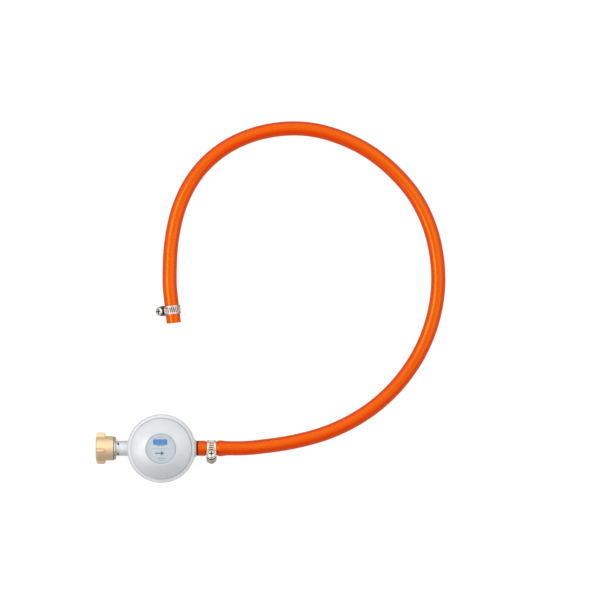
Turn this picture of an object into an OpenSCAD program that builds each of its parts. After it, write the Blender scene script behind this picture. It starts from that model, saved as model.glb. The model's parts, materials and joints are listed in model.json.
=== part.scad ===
// Low pressure gas regulator with a union nut, a rubber hose and two worm-drive hose clamps.
// The origin is the centre of the regulator's flat base. +X runs along the gas line from the inlet
// to the hose, +Y is to the left of that and +Z is up. Lengths are in millimetres.

/* [Regulator body] */
// Outer diameter of the rolled rim
rim_d = 71.6; // [70:0.2:76]
// Height of the rim above the surface it stands on
rim_h = 29; // [28.5:0.5:32]
// Diameter of the flat base
base_d = 52; // [46:1:56]
// Height of the gas line's axis above the base
axis_h = 17; // [16.8:0.1:17.8]
// Thickness of the body's wall
body_wall = 3; // [2.6:0.1:3.4]
// Width of the lip rolled over the cover
lip_w = 3.5; // [3.2:0.1:4]
// Thickness of that lip
lip_t = 1.8; // [1.5:0.1:2.2]

/* [Cover] */
// Thickness of the cover's dome
cover_wall = 2.4; // [2:0.1:3]
// Thickness of the flange that clamps the diaphragm
flange_t = 2; // [1.6:0.1:2.4]
// Height of the cover's top above the rim
dome_h = 12; // [11:0.5:15]
// Diameter of the round label disc
label_d = 32; // [30:0.5:33]
// Thickness of the label disc
label_t = 0.8; // [0.6:0.1:1.2]

/* [Diaphragm and spring] */
// Thickness of the rubber diaphragm
rubber_t = 1.3; // [1:0.1:1.6]
// Height of the diaphragm's rolled fold
fold_h = 2.2; // [1.8:0.1:2.6]
// Diameter of the plate on the diaphragm
plate_d = 36; // [32:1:38]
// Thickness of the plate
plate_t = 1.2; // [1:0.1:1.6]
// Diameter of the stem below the diaphragm
stem_d = 5; // [4.4:0.1:5.6]
// Outer diameter of the main spring
spring_d = 19; // [16:0.5:21]
// Diameter of the spring wire
wire_d = 1.2; // [1:0.1:1.4]
// Number of turns of the spring
spring_turns = 5; // [4:0.5:6]
// Diameter of the adjusting screw
adjuster_d = 24; // [23:0.5:26]
// Thickness of the adjusting screw
adjuster_t = 3.2; // [2.6:0.1:4]

/* [Valve and lever] */
// Bore of the valve seat
orifice_d = 3; // [2:0.1:3.6]
// Distance that the valve stands open with no gas
valve_gap = 1; // [0.9:0.05:1.2]
// Diameter of the poppet's cup
poppet_d = 9; // [8.4:0.1:9.4]
// Diameter of the poppet's stem
poppet_stem_d = 5; // [4.4:0.1:5.4]
// Thickness of the rubber pad in the poppet
pad_t = 2; // [1.6:0.1:2.2]
// Distance of the lever's pivot below the gas line
pivot_drop = 7; // [6.8:0.1:7.4]
// Diameter of the lever's pin
lever_pin_d = 2; // [1.6:0.1:2.4]
// Width of the lever
lever_w = 3; // [2.4:0.1:3.2]

/* [Inlet] */
// Outer diameter of the inlet stem
inlet_d = 15.5; // [15:0.1:17]
// Length of the inlet stem beyond the rim
inlet_l = 9.4; // [8.5:0.1:14]
// Outer diameter of the union nut's body
nut_d = 25.4; // [24.6:0.2:27]
// Length of the union nut
nut_l = 21.5; // [20.5:0.5:26]
// Diameter over the nut's lugs
lug_d = 33; // [31:0.5:33.4]
// Width of each lug
lug_w = 3.7; // [3:0.1:5]
// Length of each lug
lug_l = 10; // [8:0.5:12]
// Wall diameter of the nut's threaded bore
thread_d = 19.48; // [19.2:0.02:20]
// Diameter of the nipple's shank that the nut turns on
shank_d = 12.4; // [11.6:0.1:13]
// Bore of the nipple
nipple_bore_d = 5.2; // [4:0.1:6]
// Thickness of the flat inlet seal
seal_t = 2.2; // [1.6:0.1:2.4]

/* [Outlet and hose] */
// Diameter over the barbs of the hose nozzle
nozzle_d = 11; // [10.4:0.1:11.4]
// Length of the nozzle inside the hose
nozzle_l = 26; // [24:0.5:27]
// Bore of the nozzle
nozzle_bore_d = 6.4; // [5:0.1:7]
// Outer diameter of the hose
hose_d = 15; // [14.6:0.1:15.4]
// Bore of the hose
hose_bore_d = 9; // [8:0.1:9.4]

/* [Clamps] */
// Width of a clamp's band
band_w = 9; // [8:0.2:9.4]
// Thickness of a clamp's band
band_t = 0.55; // [0.4:0.05:0.7]
// Outer width of the screw housing
housing_w = 10.4; // [10.2:0.1:11.2]
// Diameter of the screw's worm
worm_d = 6.2; // [5.8:0.1:6.6]
// Diameter of the screw's head
head_d = 8.8; // [8:0.1:9]
// Distance between two worm slots of a band
slot_pitch = 2.2; // [2:0.05:2.6]
// Diameter that the tightened clamp squeezes the hose to
grip_d = 14.3; // [14:0.1:14.6]

/* [Hidden] */
$fn = 96;

// Clearances on the radius: a running fit, and two pieces that sit fast
run_gap = 0.05;
loose_gap = 0.1;
fit_gap = 0.02;
// How far a cutting shape runs past what it cuts
over = 1;

// Body: its radii count from the rim inwards and its heights from the rim downwards
rim_wall = 2.6;
seat_w = 5.7;
seat_slope = 1.5;
seat_slope_h = 2;
flare_h = 2.4;
bowl_drop = 7.9;
floor_extra = 0.5;
floor_chamfer = 2;
base_chamfer = 1.5;
rim_r = rim_d / 2;
base_r = base_d / 2;
lip_r = rim_r - lip_w;
pocket_r = rim_r - rim_wall;
seat_r = pocket_r - seat_w;
chamber_r = seat_r - seat_slope;
bowl_r = chamber_r + body_wall;
lip_z = rim_h - lip_t;
flange_z = lip_z - flange_t;
seat_z = flange_z - rubber_t;
bowl_z = seat_z - bowl_drop;
flare_z = seat_z - flare_h;
floor_z = body_wall + floor_extra;
// The chamber narrows towards its floor with the bowl outside it, one wall inwards
floor_edge_z = floor_z + floor_chamfer;
bowl_slope = (bowl_r - base_r) / (bowl_z - base_chamfer);
floor_r = base_r + bowl_slope * (floor_edge_z - base_chamfer) - body_wall;

// Cover: the dome stands inside the lip, a shallow cap with a rounded edge and a flat top
lip_groove = 0.7;
label_border = 0.6;
cap_r = 57;
dome_edge = 1.2;
label_ring_r = 0.36 * label_d;
label_groove_w = 0.6;
label_groove_t = 0.25;
adjuster_room = 0.3;
tower_wall = 2;
tower_foot = 1.5;
socket_af = 8;
socket_floor = 1.2;
vent_r = 1;
dome_r = lip_r - lip_groove;
dome_top_r = label_d / 2 + label_border;
cover_top_z = rim_h + dome_h;
cap_z = cover_top_z - sqrt(pow(cap_r, 2) - pow(dome_top_r, 2));
edge_turn = acos((dome_r - dome_edge) / (cap_r - dome_edge));
edge_z = cap_z + (cap_r - dome_edge) * sin(edge_turn);
label_z = cover_top_z - label_t - fit_gap;
adjuster_z = label_z - adjuster_room - adjuster_t;
tower_r = adjuster_d / 2 + tower_wall;

// Diaphragm stack
fold_w = 6;
fold_thin = 0.2;
fold_room = 4.2;
backing_t = 1.2;
backing_r = 11;
shank_r = 1.9;
shank_spare = 0.6;
stem_nut_af = 8;
stem_nut_h = 3;
diaphragm_top_z = seat_z + rubber_t;
fold_r = plate_d / 2 + fold_room;
plate_z = diaphragm_top_z + fit_gap;

// Valve: the seat's nose faces +X, the poppet closes on it towards -X
orifice_in = 4;
seat_l = 8;
nose_l = 1.6;
valve_seat_r = 4.4;
nose_root = 1;
nose_land = 0.5;
pad_proud = 0.4;
cup_floor = 1.4;
cup_wall = 1;
poppet_stem_l = 10.1;
poppet_chamfer = 0.5;
pivot_in = 6;
tip_r = 1;
short_arm_w = 1.2;
stem_tip_r = 1.2;
arm_h = 1.5;
hub_wall = 1;
ear_wall = 0.6;
ear_t = 2;
ear_gap = 0.4;
guide_in = 3.5;
guide_l = 4;
guide_wall = 1.6;
window_spare = 1;
slot_side_gap = 0.15;
stem_foot = 1;
orifice_x = orifice_in - chamber_r;
seat_body_x = orifice_x - seat_l;
boss_in_x = orifice_x - nose_l;
pad_x = orifice_x + valve_gap;
cup_x = pad_x + pad_proud;
cup_back_x = pad_x + pad_t + cup_floor;
poppet_end_x = cup_back_x + poppet_stem_l;
pivot_x = orifice_x + pivot_in;
pivot_z = axis_h - pivot_drop;
hub_r = lever_pin_d / 2 + hub_wall;
guide_x = pivot_x + guide_in;
stem_foot_z = pivot_z - stem_tip_r - run_gap - stem_foot;
lever_pin_l = lever_w + 2 * ear_gap + 2 * ear_t;

// Inlet line: the stem ends at inlet_x, and everything before it counts from there towards -X
collar_l = 2.8;
nut_hood = 0.9;
hood_gap = 0.3;
hood_room = 0.35;
nut_bearing_l = 5.9;
nut_float = 1.3;
flange_l = 1.5;
flange_room = 0.85;
seal_room = 0.4;
seal_hole = 0.4;
relief_depth = 1.1;
relief_slope = 0.8;
nut_chamfer = 1.2;
nut_round = 2.4;
lug_count = 4;
lug_turn = 8;
lug_in = 0.3;
lug_foot = 1.2;
lug_slope = 2;
lug_round = 0.4;
press_r = 5.6;
press_l = 9.5;
press_end = 0.5;
filter_r = 4.1;
filter_l = 4;
filter_in = 0.4;
root_step = 0.85;
root_l = 2.6;
root_in = 2;
stake_count = 4;
stake_turn = -38;
stake = [1.6, 3, 1];
inlet_x = -(rim_r + inlet_l);
nut_back_x = inlet_x - collar_l + nut_hood;
nut_mouth_x = nut_back_x - nut_l;
hood_x = nut_back_x - nut_hood - hood_gap;
shoulder_x = hood_x - nut_bearing_l;
nipple_back_x = shoulder_x - nut_float;
nipple_face_x = nipple_back_x - flange_l;
flange_r = thread_d / 2 - flange_room;
thread_in_x = nipple_face_x - seal_t - seal_room;
relief_r = thread_d / 2 + relief_depth;
press_x = inlet_x + press_l;
root_r = inlet_d / 2 + root_step;

// Outlet line
outlet_l = 1.3;
outlet_r = 8.2;
outlet_cone = [2.3, 3.6];
nozzle_in = 1.5;
nozzle_shank_r = 4.6;
hose_stop = 1.25;
barb_count = 5;
barb_lead = 2.2;
barb_h = 0.8;
barb_edge = 0.3;
nozzle_lip = 0.5;
outlet_x = rim_r + outlet_l;
nozzle_in_x = chamber_r - nozzle_in;
hose_x = outlet_x + hose_stop;
nozzle_tip_x = hose_x + nozzle_l;
barb_pitch = (nozzle_l - barb_lead) / barb_count;
barb_root_r = nozzle_d / 2 - barb_h;

// Clamps, drawn round a hose along X with the housing above it and the screw along Y
hose_r = hose_d / 2;
bore_r = hose_bore_d / 2;
near_band_r = grip_d / 2 + run_gap;
far_band_r = hose_r + run_gap;
worm_r = worm_d / 2;
housing_back = 5.6;
housing_front = 4.4;
housing_end_t = 1.2;
leg_z = 5.2;
head_t = 2.7;
head_gap = 0.15;
head_chamfer = 0.7;
cross_w = 1.2;
cross_l = 5.8;
cross_depth = 1.3;
worm_depth = 0.8;
worm_run_out = 0.8;
worm_end_gap = 0.2;
screw_tip_r = 1.6;
slot_l = 5.8;
slot_w = 1.05;
slot_depth = 0.3;
slot_slant = 5;
band_lap = 45;
near_tail = 250;
far_tail = 225;
near_in = 13.95;
near_x = hose_x + near_in;
near_roll = 54;
far_roll = 130;

// Hose: an exact cuff on the nozzle, a swept free stretch and an exact straight end
joint_gap = 0.05;
cuff_past = 5.65;
cuff_swell = 0.5;
cuff_bulge = 0.85;
cuff_shoulder = 1.6;
edge_round = 0.7;
grip_room = 0.8;
// Along the bulge past the clamp: its near side, its crest, its far side and its end
bulge_l = [1.4, 2.6, 4.6, 7.6];
bulge_round = 0.15;
bulge_end = 0.3;
bore_taper = [0.6, 4];
cuff_end_x = nozzle_tip_x + cuff_past;
cuff_swell_r = hose_r + cuff_swell;
cuff_bulge_r = hose_r + cuff_bulge;
cuff_bore_r = nozzle_d / 2 + run_gap;
grip_w = housing_w + grip_room;
tip = [12.8, 131, 15.3];
tip_heading = -83.3;
tip_l = 30;
far_clamp_back = 13.8;
hose_sides = 12;
tip_dir = [cos(tip_heading), sin(tip_heading), 0];
tip_start = tip - tip_l * tip_dir;
far_centre = tip - far_clamp_back * tip_dir;
// The route of the free stretch: down to the ground, round the loop and up to the far clamp
route = [
    [cuff_end_x + joint_gap, 0, axis_h],
    [84, 0, 16.5],
    [108, 2, 12.4],
    [141, 7, 8.2],
    [173, 16, 7.5],
    [203.5, 30.5, 7.5],
    [230.5, 50, 7.5],
    [253.5, 74.5, 7.5],
    [271.5, 103, 7.5],
    [283.5, 134.5, 7.5],
    [289, 167.5, 7.5],
    [287.5, 201, 7.5],
    [279.5, 233.5, 7.5],
    [264.5, 263.5, 7.5],
    [243, 289, 7.5],
    [217, 310, 7.5],
    [187, 325, 7.5],
    [154.5, 333.5, 7.5],
    [121, 333.5, 7.5],
    [88.5, 325.5, 7.5],
    [59, 309.5, 7.5],
    [35.5, 286, 7.5],
    [19.5, 256.5, 7.5],
    [11, 224, 8.4],
    [8.5, 190.5, 12.6],
    tip_start - joint_gap * tip_dir,
];

// Points of an arc round [x, y], both ends included
function arc(x, y, r, from, to, steps = 8) =
    [for (i = [0:steps]) let (a = from + (to - from) * i / steps) [x + r * cos(a), y + r * sin(a)]];

// The same for an oval of half width a and half height b
function oval(x, y, a, b, from, to, steps = 10) =
    [for (i = [0:steps]) let (t = from + (to - from) * i / steps) [x + a * cos(t), y + b * sin(t)]];

function unit(v) = v / norm(v);

// Direction of a path at point i, with its first and last directions given
function heading(path, i, first, last) =
    i == 0 ? first : i == len(path) - 1 ? last : unit(path[i + 1] - path[i - 1]);

// One ring of a tube: points at radius r round p, square to direction t, from the left over the top
function ring(p, t, r, sides) =
    let (u = unit(cross([0, 0, 1], t)), v = cross(t, u))
    [for (j = [0:sides - 1]) let (a = 360 * j / sides) p + r * (cos(a) * u + sin(a) * v)];

function rings(path, first, last, r, sides) =
    [for (i = [0:len(path) - 1]) each ring(path[i], heading(path, i, first, last), r, sides)];

// The wall between rings, whose first point is number base; flip turns it inside out
function wall_faces(n, sides, base, flip) = [
    for (i = [0:n - 2], j = [0:sides - 1])
        let (k = (j + 1) % sides, a = base + i * sides + j, b = base + i * sides + k)
        let (c = b + sides, d = a + sides)
        each flip ? [[a, c, d], [a, b, c]] : [[a, d, c], [a, c, b]]
];

// A flat ring between the outer and the inner points of one end
function end_faces(outer, inner, sides, flip) = [
    for (j = [0:sides - 1])
        let (k = (j + 1) % sides)
        each flip
            ? [[outer + j, inner + k, outer + k], [outer + j, inner + j, inner + k]]
            : [[outer + j, outer + k, inner + k], [outer + j, inner + k, inner + j]]
];

// A hollow tube along a path
module tube(path, first, last, r_out, r_in, sides) {
    n = len(path);
    outer = rings(path, first, last, r_out, sides);
    inner = rings(path, first, last, r_in, sides);
    shift = len(outer);
    final = (n - 1) * sides;
    polyhedron(
        points = concat(outer, inner),
        faces = concat(
            wall_faces(n, sides, 0, false),
            wall_faces(n, sides, shift, true),
            end_faces(0, shift, sides, false),
            end_faces(final, shift + final, sides, true)
        )
    );
}

// A solid rod along a path
module wire(path, first, last, r, sides) {
    n = len(path);
    final = (n - 1) * sides;
    start_cap = [for (j = [1:sides - 2]) [0, j, j + 1]];
    end_cap = [for (j = [1:sides - 2]) [final, final + j + 1, final + j]];
    polyhedron(
        points = rings(path, first, last, r, sides),
        faces = concat(wall_faces(n, sides, 0, false), start_cap, end_cap)
    );
}

// Turns a profile of [radius, x] points round the gas line
module turned(profile)
    translate([0, 0, axis_h]) rotate([0, 90, 0]) rotate_extrude() polygon(profile);

module line_rod(x1, x2, r)
    translate([x1, 0, axis_h]) rotate([0, 90, 0]) cylinder(h = x2 - x1, r = r);

// A rod across the part, along Y
module cross_rod(x, z, r, w)
    translate([x, 0, z]) rotate([90, 0, 0]) cylinder(h = w, r = r, center = true);

module body_shell()
    rotate_extrude() polygon(concat(
        [[0, 0], [base_r - base_chamfer, 0], [base_r, base_chamfer], [bowl_r, bowl_z], [rim_r, flare_z]],
        arc(rim_r - lip_w / 2, rim_h - lip_w / 2, lip_w / 2, 0, 180, 12),
        [[lip_r, lip_z], [0, lip_z]]
    ));

// The chamber below the diaphragm
module body_cavity()
    rotate_extrude() polygon([
        [0, floor_z], [floor_r - floor_chamfer, floor_z], [floor_r, floor_edge_z], [chamber_r, bowl_z],
        [chamber_r, seat_z - seat_slope_h], [seat_r, seat_z], [0, seat_z],
    ]);

// The stepped pocket that takes the diaphragm's rim and the cover's flange
module diaphragm_pocket() {
    translate([0, 0, seat_z]) cylinder(h = lip_z - seat_z, r = pocket_r);
    translate([0, 0, seat_z]) cylinder(h = rim_h, r = lip_r);
}

// Two ears on the chamber's floor that hold the lever's pin
module lever_ears() {
    ear_r = hub_r + ear_wall;
    for (side = [-1, 1])
        translate([pivot_x, side * (lever_w / 2 + ear_gap + ear_t / 2), 0]) {
            translate([-ear_r, -ear_t / 2, floor_z - over])
                cube([2 * ear_r, ear_t, pivot_z - floor_z + over]);
            translate([0, 0, pivot_z]) rotate([90, 0, 0]) cylinder(h = ear_t, r = ear_r, center = true);
        }
}

// A ring on two columns that guides the poppet's stem; the lever passes between the columns
module poppet_guide() {
    guide_r = poppet_stem_d / 2 + run_gap + guide_wall;
    window_w = lever_w + 2 * ear_gap + window_spare;
    difference() {
        union() {
            translate([guide_x, -guide_r, floor_z - over])
                cube([guide_l, 2 * guide_r, axis_h - floor_z + over]);
            line_rod(guide_x, guide_x + guide_l, guide_r);
        }
        translate([guide_x - over, -window_w / 2, floor_z])
            cube([guide_l + 2 * over, window_w, axis_h - guide_r - floor_z]);
    }
}

// Punch marks round the end of the inlet stem, which hold the nipple
module stakes()
    for (i = [0:stake_count - 1])
        translate([inlet_x, 0, axis_h]) rotate([stake_turn + i * 360 / stake_count, 0, 0])
            translate([0, 0, inlet_d / 2]) cube(stake, center = true);

// The outlet's foot widens into the rim
module outlet_foot()
    turned([
        [0, outlet_x], [outlet_r, outlet_x], [outlet_r + outlet_cone.x, outlet_x - outlet_cone.y],
        [0, outlet_x - outlet_cone.y],
    ]);

module body()
    color([0.84, 0.86, 0.87])
        difference() {
            union() {
                difference() {
                    union() {
                        body_shell();
                        outlet_foot();
                    }
                    body_cavity();
                }
                line_rod(inlet_x, boss_in_x, inlet_d / 2);
                line_rod(-rim_r - root_l, -rim_r + root_in, root_r);
                line_rod(nozzle_in_x - over, outlet_x, outlet_r);
                lever_ears();
                poppet_guide();
            }
            diaphragm_pocket();
            line_rod(inlet_x - over, press_x + press_end, press_r);
            line_rod(inlet_x, orifice_x, nipple_bore_d / 2);
            line_rod(seat_body_x - press_end, orifice_x, valve_seat_r);
            line_rod(guide_x - over, guide_x + guide_l + over, poppet_stem_d / 2 + run_gap);
            line_rod(nozzle_in_x, outlet_x + over, nozzle_shank_r);
            line_rod(nozzle_in_x - 2 * over, outlet_x, nozzle_bore_d / 2);
            cross_rod(pivot_x, pivot_z, lever_pin_d / 2 + fit_gap, lever_pin_l + over);
            stakes();
        }

// Outline of the dome: its rounded edge, which stops a step short of the cap, and the cap up to the flat top
function dome() = concat(
    arc(dome_r - dome_edge, edge_z, dome_edge, 0, 5 / 6 * edge_turn, 5),
    arc(0, cap_z, cap_r, edge_turn, acos(dome_top_r / cap_r), 12)
);

// The hollow below the dome, one wall in from it and flat under the label
module cover_hollow() {
    hollow_r = dome_r - cover_wall;
    hollow_cap_r = cap_r - cover_wall;
    ceiling_z = cover_top_z - cover_wall;
    rotate_extrude() polygon(concat(
        [[0, flange_z - over], [hollow_r, flange_z - over]],
        arc(0, cap_z, hollow_cap_r, acos(hollow_r / hollow_cap_r), asin((ceiling_z - cap_z) / hollow_cap_r)),
        [[0, ceiling_z]]
    ));
}

module cover() {
    flange_out_r = pocket_r - fit_gap;
    color([0.82, 0.84, 0.86])
        difference() {
            rotate_extrude() polygon(concat(
                [[0, flange_z], [flange_out_r, flange_z], [flange_out_r, lip_z - fit_gap]],
                [[dome_r, lip_z - fit_gap]],
                dome(),
                [[0, cover_top_z]]
            ));
            difference() {
                cover_hollow();
                translate([0, 0, adjuster_z - tower_foot]) cylinder(h = cover_top_z, r = tower_r);
            }
            translate([0, 0, flange_z]) cylinder(h = cover_top_z, r = adjuster_d / 2 + run_gap);
            translate([0, 0, label_z]) cylinder(h = label_t + over, r = label_d / 2 + run_gap);
        }
}

// The label disc: plain rings only, pressed into the cover's top
module label_disc()
    color([0.80, 0.84, 0.88])
        difference() {
            translate([0, 0, label_z + fit_gap]) cylinder(h = label_t, r = label_d / 2);
            translate([0, 0, cover_top_z - label_groove_t]) difference() {
                cylinder(h = over, r = label_ring_r + label_groove_w / 2);
                translate([0, 0, -over]) cylinder(h = 3 * over, r = label_ring_r - label_groove_w / 2);
            }
        }

module adjusting_screw()
    color([0.78, 0.62, 0.34])
        difference() {
            translate([0, 0, adjuster_z]) cylinder(h = adjuster_t, r = adjuster_d / 2);
            translate([0, 0, adjuster_z + socket_floor])
                cylinder(h = adjuster_t, r = socket_af / 2 / cos(30), $fn = 6);
            translate([0, 0, adjuster_z - over]) cylinder(h = adjuster_t, r = vent_r);
        }

module main_spring() {
    wire_r = wire_d / 2;
    mean_r = spring_d / 2 - wire_r;
    low = plate_z + plate_t + wire_r + run_gap;
    high = adjuster_z - wire_r - run_gap;
    steps = round(16 * spring_turns);
    coil = [
        for (i = [0:steps])
            let (a = 360 * spring_turns * i / steps)
            [mean_r * cos(a), mean_r * sin(a), low + (high - low) * i / steps]
    ];
    end_a = 360 * spring_turns;
    color([0.55, 0.57, 0.60])
        wire(coil, [0, 1, 0], [-sin(end_a), cos(end_a), 0], wire_r, 6);
}

module diaphragm_plate()
    color([0.74, 0.76, 0.78])
        difference() {
            translate([0, 0, plate_z]) cylinder(h = plate_t, r = plate_d / 2);
            translate([0, 0, plate_z - over]) cylinder(h = plate_t + 2 * over, r = shank_r + run_gap);
        }

// Rubber disc with a rolled fold between its clamped rim and the plate
module diaphragm() {
    low = seat_z + fit_gap;
    high = diaphragm_top_z - fit_gap;
    edge_r = pocket_r - run_gap;
    hole_r = shank_r + run_gap;
    half_in = (fold_w - rubber_t) / 2;
    half_out = (fold_w + rubber_t) / 2;
    color([0.12, 0.12, 0.13])
        rotate_extrude() polygon(concat(
            [[hole_r, low]],
            oval(fold_r, low, half_in, fold_h - fold_thin, 180, 0),
            [[edge_r, low], [edge_r, high]],
            oval(fold_r, high, half_out, fold_h, 0, 180),
            [[hole_r, high]]
        ));
}

// The stem hangs from the diaphragm: a backing disc, a slotted stem and a threaded shank
module diaphragm_stem()
    color([0.78, 0.62, 0.34])
        difference() {
            union() {
                translate([0, 0, seat_z - backing_t]) cylinder(h = backing_t, r = backing_r);
                translate([0, 0, stem_foot_z]) cylinder(h = seat_z - stem_foot_z, r = stem_d / 2);
                translate([0, 0, seat_z - over])
                    cylinder(h = over + rubber_t + plate_t + stem_nut_h + shank_spare, r = shank_r);
            }
            translate([-stem_d, -lever_w / 2 - slot_side_gap, pivot_z - stem_tip_r - run_gap])
                cube([2 * stem_d, lever_w + 2 * slot_side_gap, 2 * (stem_tip_r + run_gap)]);
        }

module stem_nut()
    color([0.70, 0.72, 0.74])
        difference() {
            translate([0, 0, plate_z + plate_t + fit_gap])
                cylinder(h = stem_nut_h, r = stem_nut_af / 2 / cos(30), $fn = 6);
            translate([0, 0, plate_z]) cylinder(h = stem_nut_h + 2 * over + plate_t, r = shank_r + fit_gap);
        }

// Bent lever: a short arm up into the poppet and a long arm into the stem
module lever()
    color([0.70, 0.72, 0.74])
        difference() {
            union() {
                cross_rod(pivot_x, pivot_z, hub_r, lever_w);
                translate([pivot_x, -lever_w / 2, pivot_z - arm_h / 2]) cube([-pivot_x, lever_w, arm_h]);
                cross_rod(0, pivot_z, stem_tip_r, lever_w);
                translate([pivot_x - short_arm_w / 2, -lever_w / 4, pivot_z])
                    cube([short_arm_w, lever_w / 2, pivot_drop]);
                cross_rod(pivot_x, axis_h, tip_r, lever_w / 2);
            }
            cross_rod(pivot_x, pivot_z, lever_pin_d / 2 + run_gap, lever_w + over);
        }

module lever_pin()
    color([0.62, 0.64, 0.66])
        cross_rod(pivot_x, pivot_z, lever_pin_d / 2, lever_pin_l);

// A cup for the rubber pad on a stem, which is slotted from below for the lever's short arm
module valve_poppet() {
    cup_r = poppet_d / 2;
    stem_r = poppet_stem_d / 2;
    notch_l = 2 * (tip_r + run_gap);
    notch_w = lever_w / 2 + 2 * slot_side_gap;
    color([0.80, 0.64, 0.36])
        difference() {
            turned([
                [0, pad_x + pad_t], [cup_r - cup_wall, pad_x + pad_t], [cup_r - cup_wall, cup_x],
                [cup_r, cup_x], [cup_r, cup_back_x], [stem_r, cup_back_x],
                [stem_r, poppet_end_x - poppet_chamfer], [stem_r - poppet_chamfer, poppet_end_x],
                [0, poppet_end_x],
            ]);
            translate([pivot_x - notch_l / 2, -notch_w / 2, axis_h - poppet_stem_d])
                cube([notch_l, notch_w, poppet_stem_d + tip_r + slot_side_gap]);
        }
}

module valve_pad()
    color([0.10, 0.10, 0.11])
        line_rod(pad_x, pad_x + pad_t - fit_gap, poppet_d / 2 - cup_wall - fit_gap);

module valve_seat()
    color([0.83, 0.67, 0.38])
        turned([
            [orifice_d / 2, seat_body_x], [valve_seat_r - fit_gap, seat_body_x],
            [valve_seat_r - fit_gap, boss_in_x], [orifice_d / 2 + nose_root, boss_in_x],
            [orifice_d / 2 + nose_land, orifice_x], [orifice_d / 2, orifice_x],
        ]);

module inlet_nipple()
    color([0.80, 0.82, 0.83])
        turned([
            [filter_r, nipple_face_x], [flange_r, nipple_face_x], [flange_r, nipple_back_x],
            [shank_d / 2, nipple_back_x], [shank_d / 2, inlet_x - collar_l],
            [inlet_d / 2, inlet_x - collar_l], [inlet_d / 2, inlet_x - fit_gap],
            [press_r - fit_gap, inlet_x - fit_gap], [press_r - fit_gap, press_x],
            [nipple_bore_d / 2, press_x], [nipple_bore_d / 2, nipple_face_x + filter_l],
            [filter_r, nipple_face_x + filter_l],
        ]);

module inlet_filter()
    color([0.62, 0.47, 0.30])
        line_rod(nipple_face_x + filter_in, nipple_face_x + filter_l - fit_gap, filter_r - fit_gap);

module inlet_seal()
    color([0.10, 0.10, 0.11])
        difference() {
            line_rod(nipple_face_x - seal_t - fit_gap, nipple_face_x - fit_gap, flange_r);
            line_rod(nipple_face_x - seal_t - over, nipple_face_x + over, filter_r + seal_hole);
        }

// One lug of the union nut, drawn above the gas line
module nut_lug() {
    x1 = nut_mouth_x + lug_in;
    x2 = x1 + lug_l;
    foot = nut_d / 2 - lug_foot;
    top = lug_d / 2;
    near = lug_slope - 2 * lug_round;
    rotate([90, 0, 0]) linear_extrude(height = lug_w, center = true)
        polygon([
            [x1, foot], [x1, top - lug_slope], [x1 + near, top - lug_round], [x1 + lug_slope, top],
            [x2 - lug_slope, top], [x2 - near, top - lug_round], [x2, top - lug_slope], [x2, foot],
        ]);
}

module inlet_nut()
    color([0.88, 0.75, 0.50])
        difference() {
            union() {
                turned(concat(
                    [[0, nut_mouth_x], [nut_d / 2 - nut_chamfer, nut_mouth_x]],
                    [[nut_d / 2, nut_mouth_x + nut_chamfer]],
                    arc(nut_d / 2 - nut_round, nut_back_x - nut_round, nut_round, 0, 90, 6),
                    [[0, nut_back_x]]
                ));
                translate([0, 0, axis_h])
                    for (i = [0:lug_count - 1])
                        rotate([lug_turn + i * 360 / lug_count, 0, 0]) nut_lug();
            }
            turned([
                [0, nut_mouth_x - over], [thread_d / 2 + nut_chamfer + over, nut_mouth_x - over],
                [thread_d / 2, nut_mouth_x + nut_chamfer], [thread_d / 2, thread_in_x],
                [relief_r, thread_in_x + relief_slope], [relief_r, shoulder_x], [0, shoulder_x],
            ]);
            line_rod(shoulder_x - over, nut_back_x + over, shank_d / 2 + loose_gap);
            line_rod(hood_x, nut_back_x + over, inlet_d / 2 + hood_room);
        }

// Barbs lean towards the tip, so that the hose slides on and doesn't slide off
module hose_nozzle()
    color([0.80, 0.64, 0.36])
        turned(concat(
            [[nozzle_bore_d / 2, nozzle_in_x + fit_gap], [nozzle_shank_r - fit_gap, nozzle_in_x + fit_gap]],
            [[nozzle_shank_r - fit_gap, hose_x + barb_lead]],
            [
                for (i = [0:barb_count - 1])
                    let (x = hose_x + barb_lead + i * barb_pitch)
                    each [
                        [barb_root_r, x], [nozzle_d / 2, x + barb_edge / 2], [nozzle_d / 2, x + barb_edge],
                        [barb_root_r, x + barb_pitch - barb_edge],
                    ]
            ],
            [[nozzle_bore_d / 2 + nozzle_lip, nozzle_tip_x], [nozzle_bore_d / 2, nozzle_tip_x]]
        ));

// The hose's start, stretched over the nozzle and squeezed by the clamp
module hose_cuff() {
    grip_1 = near_x - grip_w / 2;
    grip_2 = near_x + grip_w / 2;
    turned([
        [cuff_bore_r, hose_x], [cuff_swell_r - edge_round / 2, hose_x], [cuff_swell_r, hose_x + edge_round],
        [cuff_swell_r, grip_1 - cuff_shoulder], [grip_d / 2, grip_1], [grip_d / 2, grip_2],
        [cuff_bulge_r - bulge_round, grip_2 + bulge_l[0]], [cuff_bulge_r, grip_2 + bulge_l[1]],
        [cuff_bulge_r - bulge_round, grip_2 + bulge_l[2]], [hose_r + bulge_end, grip_2 + bulge_l[3]],
        [hose_r, cuff_end_x - bulge_end], [hose_r, cuff_end_x], [bore_r, cuff_end_x],
        [bore_r, nozzle_tip_x + bore_taper[1]], [cuff_bore_r, nozzle_tip_x + bore_taper[0]],
    ]);
}

// The hose's cut end, with its edge slightly rounded
module hose_end()
    translate(tip) rotate([0, 90, tip_heading]) rotate_extrude() polygon(concat(
        [[bore_r, -tip_l], [hose_r, -tip_l]],
        arc(hose_r - edge_round, -edge_round, edge_round, 0, 90, 3),
        [[bore_r, 0]]
    ));

module gas_hose()
    color([0.93, 0.36, 0.07]) {
        hose_cuff();
        tube(route, [1, 0, 0], tip_dir, hose_r, bore_r, hose_sides);
        hose_end();
    }

// Distance of a clamp's screw from the hose's axis
function screw_r(band_r) = band_r + 2 * band_t + loose_gap + worm_r;

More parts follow.
